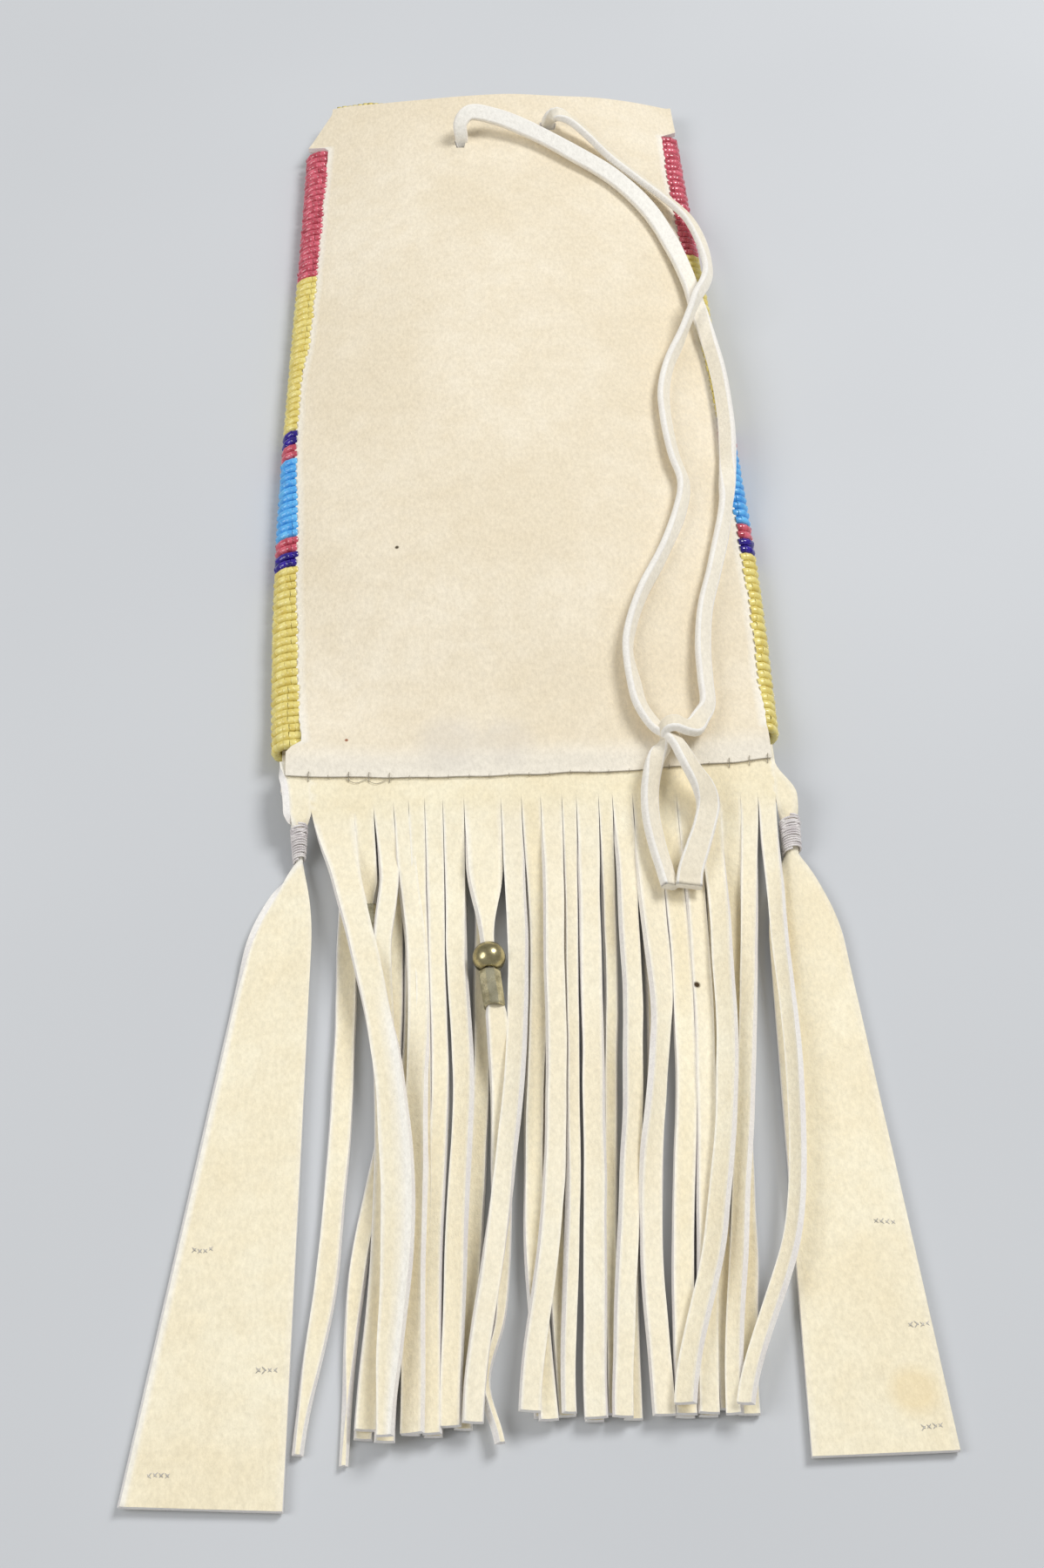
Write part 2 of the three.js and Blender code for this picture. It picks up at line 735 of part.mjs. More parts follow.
// Stretch of lace inside the pouch, lying against the back panel between the holes
function laceInside() {
  const ends = [leftHole, rightHole].map(([x, y]) => {
    const z = backUndersideAt(x, y) - gap - laceInnerThickness;
    return [x, y, z, laceDiameter, laceInnerThickness];
  });
  return ribbon(ends);
}

function knot() {
  const lump = new THREE.SphereGeometry(0.5, 12, 8);
  lump.scale(...knotSize);
  lump.translate(...knotCentre);
  return lump;
}

addMesh(bag, 'front_panel', frontPanel(), 'hide');
addMesh(bag, 'back_panel', backPanel(), 'hide');
addBands('left_edge', leftBands, (bottom, rows) => edgeBand(-1, bottom, rows));
addBands('right_edge', rightBands, (bottom, rows) => edgeBand(1, bottom, rows));
addBands('front', leftBands, frontBand);
addMesh(bag, 'front_lip_yellow', frontBand(laneTop, lipRows), 'yellow');
addMesh(bag, 'upper_fringe', upperFringe(), 'hide');
addMesh(bag, 'lower_fringe', lowerFringe(), 'hide');
addMesh(bag, 'bottom_seam_thread', seamThread(), 'thread');
tabs.forEach((tab) => {
  addNeckWrap(tab);
  tab.stitches.forEach((place, index) => {
    addMesh(bag, `${tab.side}_tab_stitch_${index + 1}`, tieStitch(tab, place), 'thread');
  });
});
addBrass();

addMesh(lace, 'lace_left_run', laceTube(leftLace, laceRunSteps), 'lace');
addMesh(lace, 'lace_right_run', laceTube(rightLace, laceRunSteps), 'lace');
addMesh(lace, 'lace_left_tail', laceTube(leftTail, laceTailSteps), 'lace');
addMesh(lace, 'lace_right_tail', laceTube(rightTail, laceTailSteps), 'lace');
addMesh(lace, 'lace_knot', knot(), 'lace');
addMesh(lace, 'lace_inside', laceInside(), 'lace');

// The origin is under the middle of the bag, on the surface it lies on
const box = new THREE.Box3().setFromObject(bag, true);
const middle = box.getCenter(new THREE.Vector3());
const part = new THREE.Group();
part.position.set(-middle.x, -middle.y, -box.min.z);
part.add(bag, lace);

export default part;
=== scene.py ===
"""Looks of a hide mirror bag that lies face down: suede hides, bead rows, fringe, brass, thread and lace.

Shapes are worked out in millimetres in the bag's own frame, x from its middle, y from its bottom seam
and z up from the floor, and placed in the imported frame, in metres, when a piece is made.
"""

import math
import random

import bmesh
import bpy
import numpy as np
from mathutils import Matrix, Vector, noise


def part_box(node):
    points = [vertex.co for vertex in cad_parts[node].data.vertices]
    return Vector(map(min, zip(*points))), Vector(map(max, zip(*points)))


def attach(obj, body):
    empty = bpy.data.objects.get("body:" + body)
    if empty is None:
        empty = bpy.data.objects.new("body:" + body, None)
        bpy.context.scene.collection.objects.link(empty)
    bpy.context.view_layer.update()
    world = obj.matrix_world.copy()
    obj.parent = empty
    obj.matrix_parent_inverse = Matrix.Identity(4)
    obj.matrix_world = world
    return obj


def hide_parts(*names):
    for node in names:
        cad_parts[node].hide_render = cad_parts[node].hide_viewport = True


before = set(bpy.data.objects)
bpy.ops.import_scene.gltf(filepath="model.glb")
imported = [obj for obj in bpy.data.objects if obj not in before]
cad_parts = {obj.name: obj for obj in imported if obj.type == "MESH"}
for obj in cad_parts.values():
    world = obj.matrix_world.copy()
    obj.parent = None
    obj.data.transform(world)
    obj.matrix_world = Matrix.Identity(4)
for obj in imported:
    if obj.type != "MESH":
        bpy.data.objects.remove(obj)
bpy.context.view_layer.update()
rng = random.Random(11)

MM = 0.001
CURVE_STEPS = 24
panel_low, panel_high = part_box("front_panel")
ORIGIN = Vector(((panel_low.x + panel_high.x) / 2, panel_low.y, 0))

# Layers: hide, and the height of each layer at the side edges and at the bottom seam
HIDE = 1.3
EDGE_BEVEL = 0.22
BEVEL_ANGLE = 50
GAP = 0.3
FLOOR_GAP = 0.2
BEAD_HEIGHT = 1.9
FRONT_TOP = BEAD_HEIGHT + GAP + HIDE
SIDE_LEVEL = FRONT_TOP + GAP
LAYER_STEP = HIDE + GAP
UPPER_LEVEL = SIDE_LEVEL + LAYER_STEP
SEAM_LEVEL = UPPER_LEVEL + LAYER_STEP

# Bead rows
ROW_PITCH = 2.1
BEAD_LENGTH = 1.2
BEAD_WALL = 0.08
BEAD_SIZES = (0.89, 0.98)
BEAD_TILT = 0.1
BEAD_REACH = 1.06
BEND_STRETCH = 0.6
BEND_STEPS = 12
EDGE_ROUND = 2.0
ROW_SLANTS = {-1: (0.9, 1.4), 1: (-1.5, -1.0)}
SLANT_PIVOT = 0.75
DIRECTION_STEP = 0.2
FRONT_BEAD_LENGTH = 1.32
UNDER_LEG = 2.5
LEFT_LEGS = (4.0, 3.4, 3.0, 2.4, 1.2, 1.2, 2.6, 2.8, 2.9, 3.7)
RIGHT_LEG_BOTTOM = 0.7
RIGHT_LEG_TOP = 2.4
LEG_UNEVEN = 0.3
BARE_BOTTOM = 8.4
BARE_TOP = 12.6
LIP_ROWS = 7
LEFT_BANDS = [
    ("rose", 22), ("yellow", 24), ("navy", 2), ("rose", 2),
    ("light_blue", 11), ("rose", 2), ("navy", 2), ("yellow", 23),
]
RIGHT_BANDS = [("rose", 21), ("yellow", 26), *LEFT_BANDS[2:]]
LANE_LENGTH = ROW_PITCH * sum(rows for _, rows in LEFT_BANDS)
LANE_TOP = BARE_BOTTOM + LANE_LENGTH
RIGHT_LANE_TOP = BARE_BOTTOM + ROW_PITCH * sum(rows for _, rows in RIGHT_BANDS)
POUCH_HEIGHT = LANE_TOP + BARE_TOP
FRONT_END = LANE_TOP + LIP_ROWS * ROW_PITCH

# Pouch outline and dome
WIDTH_BOTTOM = 100.8
WIDTH_TOP = 93.4
SIDE_BOW = 1.8
POUCH_DEPTH = 7
SEAM_RISE = 1.4
SEAM_SAG = 1.8
SEAM_UNEVEN = 0.45
SEAM_FULLNESS = 0.15
EDGE_OVERLAP = 0.2
MOUTH_RISE = (2.0, -0.5, -1.5, -1.1, -1.2, -0.2, 0.6)
BARE_REACH = 1.6
BOTTOM_INSET = 1.2
LEFT_CORNER = 6.0
RIGHT_CORNER = 0.2
TUCK = 5
FLAT_END = TUCK + 3.5
SIDE_RISE = 14
CENTRE_RISE = 50
DOME_FULLNESS = 2.2

# Panels: grid rows and columns, the bite of each bead row, swells as height, size and seed, and lace holes
BACK_GRID = (170, 85)
FRONT_GRID = (70, 25)
ROW_BITE = 0.32
BITE_REACH = 3
BACK_SWELLS = ((0.5, 34, 1.7), (0.16, 11, 5.1))
HOLE_REACH = 3
HOLE_PUSH = 0.8
HOLE_PUCKER = 0.9

# Fringe
ROOT_DEPTH = 6.5
STRAND_LENGTH = 119.5
SLIT = 0.3
DESCENT = 24
FRINGE_LEFT = -42
STRAND_STEP = 1.5
STRAND_START = 14
STRAND_WANDER = 0.25
STRAND_SWAY = 6
STRAND_CUP = 0.2
SWELLING = 0.9
TAB_STEP = 0.9

# Upper strands from the left: cut width, layer, drift at even steps of its length, extra length, roll at
# its root and at each quarter with the left edge up, and how pale it is
UPPER_STRANDS = [
    (8.2, 3, (2.7, 5.8, 8.7, 10.7, 11.8, 11.5, 10.4, 9.4), 1, (10, 8, -12, -18, -10), 0.3),
    (3.8, 1, (1.5, 3.4, 2.7, 0.3), -1, (6, 0, 0, 4, 4), 0.05),
    (3.8, 1, (1.0, -0.6, -0.3, 0.2, 0.4, 0.5, 0, -0.5), 1, (14, 12, 8, 8, 6), 0.3),
    (2.9, 1, (2.4, 2.2, 1.3, 0.4), 0, (22, 8, -26, -30, -20), 0.35),
    (3.1, 1, (0.3, 0.5, -0.3, -2.7), 0, (6, 0, 0, 0, 0), 0.05),
    (3.5, 1, (-0.2, -0.2, -2.1, -2.6), 0, (8, 6, 4, -8, -6), 0.2),
    (4.1, 1, (-0.3, 0.1, -1.9, -3.4), -1, (8, -10, -28, -20, -6), 0.25),
    (7.1, 1, (0, 0, 0.1, 0.9, 1.2, 1.2, 1, 0.7, 0.3, -0.5, -3, -1), 2, (14, 14, 4, 6, 24), 0.35),
    (4, 2, (-0.1, -2.1, -6.5, -11), -1, (-6, -16, -30, 8, 6), 0.6),
    (3.7, 1, (0, -2, -3.6, -2.6), -1.4, (6, 6, 6, 8, 6), 0.05),
    (4.1, 2, (-0.9, -2, -4.8, -9.4), -2.4, (16, 12, 10, 14, 8), 0.5),
    (2.8, 1, (-1.1, -2.5, -4.4, -6.4), -2.4, (4, 6, 16, 24, 10), 0.4),
    (4.3, 1, (-1.2, -2.6, -4.2, -5.8), -1.4, (12, 8, -12, -12, -6), 0.45),
    (2.7, 0, (-0.9, -2.9, -4.9, -6.1), -2.4, (4, 4, 2, 0, 0), 0.05),
    (3.9, 1, (-0.5, -2.2, -5.3, -8.2), -1.4, (22, 24, 26, 20, 10), 0.4),
    (4.3, 1, (0.1, 0.2, -0.2, -2, -4.2, -5.4, -5.6, -5.7), -1.4, (6, 22, 44, 14, 6), 0.5),
    (4.2, 1, (0.3, 0.3, -0.4, -1, -2.6, -4.2, -5.4, -6.4), -1.4, (6, 0, 0, 4, 0), 0.1),
    (4.1, 1, (-0.2, -1.8, -4.2, -6.8), -1.4, (8, 10, 8, 10, 6), 0.4),
    (4.2, 2, (-0.5, -2.3, -7.2, -15), -2.4, (6, -18, -30, -34, -26), 0.35),
    (4.1, 0, (-1.6, -3.7, -5.9, -8.4), -1.4, (0, 0, 0, 0, 0), 0.05),
    (3.4, 1, (-3.1, -6.8, -11.2, -15), -1, (4, -12, -30, -34, -18), 0.35),
    (3.4, 2, (-1, -1.7, -5.4, -16.6), -2, (-8, -26, -40, -40, -24), 0.4),
]

# Where the slits between the upper strands begin, below the bag's bottom
SLIT_TOPS = (
    6.4, 5.4, 4.6, 4.1, 4.0, 4.3, 3.9, 4.4, 4.0, 4.2, 4.0, 4.6, 4.3, 4.1, 4.5, 4.2, 4.8, 4.6, 5.2, 5.6, 6.0,
)
WIDE_STRAND = 0
TUBE_STRAND = 1
OVER_TUBE_STRAND = 2
WIDENED_STRAND = 3
BEADED_STRAND = 7
SWOLLEN_STRAND = 15
WIDE_STRAND_WIDTHS = (8.2, 5.7, 5.3, 4.9, 5.5, 6.0, 5.7, 4.7, 2.9)
WIDENED_STRAND_WIDTH = 4.1

# Lower strands: place at the roots, drift at each quarter, extra length
LOWER_WIDTH = 3.2
LOWER_BAND_END = 9.6
LOWER_STRANDS = [
    (-35.2, (-0.2, -1, -3.1, -7.5), 2),
    (-26.4, (0, -1.4, -7, -8.9), 4),
    (-22.6, (-0.4, -1.8, -6.4, -9.7), 0),
    (-18.4, (-0.2, -0.2, -2.1, -2.6), 0),
    (-8.9, (-1.3, -2.5, -4.7, -7.3), -1),
    (0.5, (0, -1.9, -3.4, -3.6), -2.4),
    (4.4, (-0.9, -2, -3.8, -3.6), -2.4),
    (11.1, (-1.2, -2.6, -4.2, -5.8), -1.4),
    (18.2, (-0.5, -2.2, -5.1, -6.6), -1.4),
    (22.2, (-0.5, -2, -5, -5.7), -2.4),
    (26.4, (0, -1.2, -4.2, -6.4), -1.4),
    (30.6, (-0.2, -1.8, -4.6, -6.9), -1.4),
    (35, (-1.4, -3.6, -6.1, -8), -2.4),
]

# Tabs, gathered into a neck that thread is wrapped round
NECK_RADIUS = 1.25
NECK_BELOW_WRAP = 1.5
WRAP_LENGTH = 6.4
WRAP_TURNS = 14
TURN_STEPS = 14
SHOULDER_LENGTH = 20
CURL_WIDTH = 1.5
NECK_FULLNESS = 0.6
NECK_TURN = 200
NECK_SINK = 0.4
CREASE_WIDTH = 0.07
CREASE_HEIGHT = 0.6
TAB_UNEVEN = 0.25
TAB_RIBS = 0.07
TABS = [
    {
        "side": "left", "out": -1, "neck_x": -44.5, "wrap_drop": 2.7, "length": 120.1, "neck": (1.0, 0.3),
        "top": (-51.2, -41.5), "bottom": (-70.9, -44.9), "ruffle": 0.7, "waves": 1.5, "slant": 1.8,
        "band_end": (2.9, TUCK), "band_curl": 95, "curl": (95, 36), "rim": 0.8,
        "crease": (0.8, 0.05), "crease_length": 15,
        "stitches": ((0.22, 0.254), (0.84, 0.128), (0.21, 0.028)),
    },
    {
        "side": "right", "out": 1, "neck_x": 50, "wrap_drop": 4.7, "length": 114.1, "neck": (1.25, 0.95),
        "top": (44.4, 56.5), "bottom": (39.6, 63.5), "ruffle": 0.6, "waves": 1.0, "slant": 0,
        "band_end": (1.9, 1), "band_curl": 0, "curl": (20, 8), "rim": 0.2,
        "crease": (0.4, 0.3), "crease_length": 40,
        "stitches": ((0.79, 0.244), (0.9, 0.126), (0.84, 0.023)),
    },
]

# Brass beads
BEAD_RADIUS = 3.05
TUBE_RADIUS = 2.1
TUBE_LENGTH = 7.4
TUBE_LEAN = 0.09
BEAD_BORE = 1.45
THREADED_WIDTH = 1.8
BEADED_STRAND_NECK = 2.6
BEADED_STRAND_WIDTH = 3.9
BEADED_STRAND_TIP = 1.7
BEAD_DISTANCE = 30.2
BEAD_END = BEAD_DISTANCE + 2 * BEAD_RADIUS + TUBE_LENGTH
BEAD_SLOPE = 16
TUBE_DISTANCE = 20
TUBE_END = TUBE_DISTANCE + TUBE_LENGTH
TUBE_SLOPE = 12
TUBE_SIDES = 8
TUBE_DENTS = 0.05

# Thread
WRAP_THREAD = 0.22
TIE_THREAD = 0.09
SEAM_THREAD = 0.06
STITCH_PITCH = 3.9
FIRST_STITCH = 4.5
SHOWN_STITCHES = (0, 2, 3, 4)
SEAM_LOOPS = ((-35.3, -31.5), (-31.5, -27.6))
TIE_CROSSES = 4
TIE_PITCH = 0.95
TIE_REACH = 0.42
TIE_CLIMB = 0.45

# Lace: section, holes and the points that it follows
LACE_WIDTH = 3.7
LACE_THICKNESS = 1.8
LACE_CORNER = 0.5
LACE_STEP = 0.8
LACE_UNEVEN = 0.07
LACE_STIFFNESS, LACE_TURN = 0.45, 0.55
BROAD_SIDES = (2, 8)
LEFT_HOLE = (-7.6, 186)
RIGHT_HOLE = (13.6, 192.3)
HOLE_RADIUS = 1.5
INSIDE_MIDDLE = (3, 189.2, 8.9)
LEFT_INSIDE = [INSIDE_MIDDLE, (-2, 187.7, 8.9), (-6.6, 186.3, 9.3)]
RIGHT_INSIDE = [INSIDE_MIDDLE, (8, 190.6, 8.7), (12.6, 192, 9)]
LEFT_LACE = [
    (-7.6, 186, 10.9), (-7.8, 186.4, 13.4), (-8, 188.2, 15.9), (-5.8, 190.4, 17.3), (0.6, 190.6, 15.9),
    (8.7, 187, 14.5), (19, 179.5, 13.2), (28.4, 172, 11.6), (36, 162.3, 9.8), (41, 150.3, 8.4),
    (43.8, 139, 7.8), (45, 130.2, 7.8), (46.4, 120.5, 7.8), (47.8, 107.5, 7.8), (48, 92, 7.8),
    (47, 79, 7.8), (44.8, 64.4, 8.3), (41, 48.7, 9.4), (38, 37.7, 9.7), (36.6, 27.5, 9.7),
    (36.2, 19, 10.4),
]
RIGHT_LACE = [
    (13.6, 192.3, 10.5), (13.6, 192.3, 12.6), (15.4, 191.7, 15.2), (19.2, 189.4, 14.9),
    (24, 184.8, 13.2), (29, 178.6, 11.7), (35.4, 172.2, 10.1), (41, 167, 8.6), (45.6, 160.6, 8),
    (48.1, 151.4, 8), (48.6, 141.5, 8.6), (46.8, 133.4, 11.4), (44.6, 128.5, 12.2),
    (42.6, 123.5, 11.2), (39.8, 117, 9.6), (36.6, 108.8, 10.1), (34.6, 99.5, 10.7),
    (34.4, 90, 10.8), (35.2, 80, 10.7), (36.6, 72.3, 10.4), (34.9, 63.4, 10.9), (30, 50.7, 11.7),
    (25.3, 41, 11.8), (22.5, 33.2, 11.5), (21.3, 27, 11.1), (21.9, 18.8, 10.8),
]
LEFT_TAIL = [
    (35.9, 12.1, 10.9), (34.3, 9.1, 11.1), (32.6, 6.2, 11.7), (31, 5.7, 12.6), (29, 6.1, 13.5),
    (27.4, 6, 13.1), (26.6, 5.3, 11.9), (27.2, 4.3, 10.7), (26.5, 2.8, 10.4), (24.9, 0.3, 10.2),
    (23.9, -2.7, 9.4), (23.2, -6.6, 8.3), (23.1, -11.5, 7.3), (23.8, -17.1, 6.4), (24.8, -22.2, 5.9),
    (25.6, -26.4, 5.6),
]
RIGHT_TAIL = [
    (22.6, 13.4, 10.9), (24, 9.7, 10.9), (25.8, 6.8, 10.9), (27.6, 4.9, 11.6), (29, 2, 12.5),
    (30.2, -1.2, 12.6), (31.6, -4.2, 11.9), (33.4, -7.1, 10.2), (34.1, -9.9, 8.7), (33.1, -14.1, 7.8),
    (31.4, -18.7, 7), (29.7, -23.3, 6.3), (29.1, -26.7, 5.9),
]

# How each lace lies: share of its length, way its broad face looks, share of its width and how pale it is
LEFT_TURNS = [
    (0, (0, 0, 1), 0.8, 0.2), (0.036, (0, -0.6, 0.8), 0.7, 0.6), (0.051, (0, -1, 0.2), 0.85, 0.9),
    (0.087, (0, -0.6, 0.8), 1.08, 1), (0.307, (0.1, -0.4, 0.9), 1.08, 0.9),
    (0.369, (0.3, -0.2, 0.9), 1, 0.7), (0.44, (-0.57, 0, 0.82), 1, 0.4), (0.563, (-0.57, 0, 0.82), 1, 0.3),
    (0.614, (0.77, 0, 0.64), 0.92, 0.4), (0.676, (0.57, 0, 0.82), 0.9, 0.4),
    (0.825, (0.57, 0, 0.82), 0.9, 0.5), (0.851, (0.2, 0.3, 0.9), 1.1, 0.2),
    (0.87, (-0.2, 0.4, 0.9), 1.1, 0.2), (0.878, (-0.9, 0.2, 0.4), 0.95, 0.5),
    (0.886, (-0.8, -0.4, 0.4), 0.95, 0.5), (0.9, (0.3, 0, 0.9), 1, 0.3),
    (0.912, (0.64, 0, 0.77), 1, 0.3), (1, (0.64, 0, 0.77), 1, 0.4),
]
RIGHT_TURNS = [
    (0, (0, 0, 1), 0.8, 0.2), (0.036, (0, -0.6, 0.8), 0.75, 0.5), (0.052, (0.3, -0.5, 0.8), 0.85, 0.8),
    (0.08, (0.4, 0.4, 0.8), 1.05, 0.1), (0.14, (0.4, 0.4, 0.8), 1.0, 0.1),
    (0.26, (0.45, 0.42, 0.77), 0.85, 0.3), (0.332, (0.94, 0.19, 0.34), 0.85, 0.6),
    (0.436, (0.94, 0.19, 0.34), 0.85, 0.6), (0.488, (0.74, 0, 0.67), 0.85, 0.4),
    (0.623, (0.74, 0, 0.67), 0.85, 0.4), (0.664, (0.9, 0, 0.42), 0.85, 0.6),
    (0.778, (0.9, 0, 0.42), 0.85, 0.6), (0.8, (0.71, 0, 0.71), 0.85, 0.4),
    (0.827, (0.71, 0, 0.71), 0.9, 0.4), (0.855, (0.5, 0.2, 0.85), 0.9, 0.4),
    (0.878, (0.55, 0.3, 0.78), 0.95, 0.4), (0.904, (0.5, 0.2, 0.85), 1.1, 0.2),
    (0.919, (0.2, 0, 1), 1.2, 0.2), (0.932, (0, -0.2, 1), 1.2, 0.2), (1, (0, -0.3, 0.95), 1.35, 0.2),
]

# Camera: where it stands and looks, in millimetres of the bag's frame, and its lens
CAMERA_AT = (-11.1, -228.2, 329.6)
CAMERA_LOOKS_AT = (-1.03, 2.35, 0)
CAMERA_LENS = 46.68

# Floor and light, in metres and watts: each lamp's name, place, size and power
FLOOR_SIZE = 3.0
SKY_TINT = (1.0, 0.99, 0.97, 1.0)
SKY_STRENGTH = 0.38
LAMPS = [("key", (0.55, 0.35, 0.85), 0.45, 6.8), ("fill", (-0.7, -0.2, 0.75), 0.6, 3.4)]


# Shared helpers


def lerp(start, end, share):
    return start + (end - start) * share


def ease(value, low, high):
    share = np.clip((value - low) / (high - low), 0, 1)
    return share * share * (3 - 2 * share)


def through(values, share):
    """Value at a share of the way along a smooth curve through evenly spaced values."""
    padded = np.array([values[0], *values, values[-1]], float)
    last = len(values) - 1
    position = np.clip(share, 0, 1) * last
    index = np.minimum(np.floor(position).astype(int), last - 1)
    t = position - index
    a, b, c, d = (padded[index + k] for k in range(4))
    return 0.5 * (2 * b + (c - a) * t + (2 * a - 5 * b + 4 * c - d) * t**2 + (3 * b - a - 3 * c + d) * t**3)


def travelled(path):
    """Distance along a path at each of its points."""
    return np.concatenate(([0], np.cumsum(np.linalg.norm(np.diff(path, axis=0), axis=1))))


def on_path(path, distance):
    """Places at distances along a path."""
    along = travelled(path)
    return np.stack([np.interp(distance, along, axis) for axis in path.T], axis=-1)


def directions(path):
    """Unit directions along a path, one at each of its points."""
    along = np.gradient(np.asarray(path, float), axis=0)
    return along / np.linalg.norm(along, axis=1)[:, None]


def smooth_path(points, step):
    """Evenly stepped points along a smooth curve through the given points."""
    knots = [Vector(point) for point in points]
    knots = [2 * knots[0] - knots[1], *knots, 2 * knots[-1] - knots[-2]]
    fine = []
    for a, b, c, d in zip(knots, knots[1:], knots[2:], knots[3:]):
        before, middle, after = (max((q - p).length, 0.05) ** 0.5 for p, q in ((a, b), (b, c), (c, d)))
        leave = middle * ((b - a) / before - (c - a) / (before + middle) + (c - b) / middle)
        arrive = middle * ((c - b) / middle - (d - b) / (middle + after) + (d - c) / after)
        for i in range(CURVE_STEPS):
            t = i / CURVE_STEPS
            along = (2 * t**3 - 3 * t**2 + 1) * b + (t**3 - 2 * t**2 + t) * leave
            fine.append(along + (3 * t**2 - 2 * t**3) * c + (t**3 - t**2) * arrive)
    fine.append(knots[-2])
    fine = np.array(fine)
    length = travelled(fine)[-1]
    return on_path(fine, np.linspace(0, length, max(2, round(length / step) + 1)))


def wrinkle(x, y, size, seed):
    """Smooth unevenness between about -1 and 1 at a place, with bumps of that size."""
    return noise.noise(Vector((x / size, y / size, seed)))


def in_frame(points):
    return np.asarray(points, float) * MM + np.array(ORIGIN)


def in_scene(name, data):
    made = bpy.data.objects.new(name, data)
    bpy.context.scene.collection.objects.link(made)
    return made


def new_piece(name, points, faces, materials, nodes=(), face_materials=None, tones=None):
    """Makes a smooth mesh from points in millimetres, and lets it ride on the bag."""
    mesh = bpy.data.meshes.new(name)
    mesh.from_pydata(in_frame(points).tolist(), [], faces)
    for made in materials:
        mesh.materials.append(made)
    if face_materials is not None:
        mesh.polygons.foreach_set("material_index", face_materials)
    mesh.polygons.foreach_set("use_smooth", [True] * len(mesh.polygons))
    if tones is not None:
        mesh.attributes.new("tone", "FLOAT", "POINT").data.foreach_set("value", np.asarray(tones, np.float32))
    mesh.update()
    piece = in_scene(name, mesh)
    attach(piece, "root")
    if nodes:
        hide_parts(*nodes)
    return piece


def grid_faces(rows, columns, start):
    """Faces of a grid of points that run from left to right in each row, and down from row to row."""
    faces = []
    for row in range(rows - 1):
        for column in range(columns - 1):
            corner = start + row * columns + column
            faces.append((corner, corner + columns, corner + columns + 1, corner + 1))
    return faces


def change_mesh(piece, change):
    surface = bmesh.new()
    surface.from_mesh(piece.data)
    change(surface)
    surface.to_mesh(piece.data)
    surface.free()


def sew(surface):
    """Joins the points of grids that meet."""
    bmesh.ops.remove_doubles(surface, verts=surface.verts, dist=1e-6)


def hide_piece(name, grids, materials, nodes):
    """Makes one hide from grids of points at its middle, sewn where they meet, with its cut edges apart.

    Each grid comes with its tones, and with its fullness, which is the share of the hide's thickness.
    """
    points, faces, tones, fullness = [], [], [], []
    for grid, tone, full in grids:
        faces.extend(grid_faces(*grid.shape[:2], len(points)))
        points.extend(grid.reshape(-1, 3))
        tones.extend(np.broadcast_to(tone, grid.shape[:2]).reshape(-1))
        fullness.extend(np.broadcast_to(full, grid.shape[:2]).reshape(-1))
    piece = new_piece(name, points, faces, materials, nodes, tones=tones)
    group = piece.vertex_groups.new(name="fullness")
    for index, full in enumerate(fullness):
        group.add([index], float(full), "REPLACE")
    change_mesh(piece, sew)
    shell = piece.modifiers.new("thickness", "SOLIDIFY")
    shell.thickness = HIDE * MM
    shell.offset = 0
    shell.material_offset_rim = 1
    shell.vertex_group = "fullness"
    rounding = piece.modifiers.new("rounding", "BEVEL")
    rounding.width = EDGE_BEVEL * MM
    rounding.segments = 2
    rounding.limit_method = "ANGLE"
    rounding.angle_limit = math.radians(BEVEL_ANGLE)
    piece.modifiers.new("shading", "WEIGHTED_NORMAL")
    return piece


def ring_faces(rings, sides, closed=False, flip=False):
    """Faces between rings of points that follow each other, and from the last to the first if closed."""
    faces = []
    for ring in range(rings if closed else rings - 1):
        for side in range(sides):
            a, b = ring * sides + side, ring * sides + (side + 1) % sides
            c, d = (index + ((ring + 1) % rings - ring) * sides for index in (b, a))
            faces.append((a, d, c, b) if flip else (a, b, c, d))
    return faces


def tube(path, radius, sides=6):
    """Points and faces of a round tube with closed ends, along a path of points."""
    points = []
    across = None
    for point, direction in zip(path, directions(path)):
        direction = Vector(direction)
        across = direction.orthogonal().normalized() if across is None else across
        across = (across - direction * across.dot(direction)).normalized()
        up = direction.cross(across)
        for i in range(sides):
            angle = 2 * math.pi * i / sides
            points.append(Vector(point) + radius * (math.cos(angle) * across + math.sin(angle) * up))
    ends = tuple(reversed(range(sides))), tuple(range(len(points) - sides, len(points)))
    return points, [*ring_faces(len(path), sides), *ends]


def joined(parts):
    """One list of points and one of faces from several."""
    points, faces = [], []
    for part_points, part_faces in parts:
        faces.extend(tuple(index + len(points) for index in face) for face in part_faces)
        points.extend(part_points)
    return points, faces


def turned(profile, segments):
    """Points and faces of a closed profile of (radius, height) turned round Y."""
    points = []
    for i in range(segments):
        angle = 2 * math.pi * i / segments
        points.extend((r * math.sin(angle), height, r * math.cos(angle)) for r, height in profile)
    return np.array(points), ring_faces(segments, len(profile), closed=True, flip=True)


# Materials


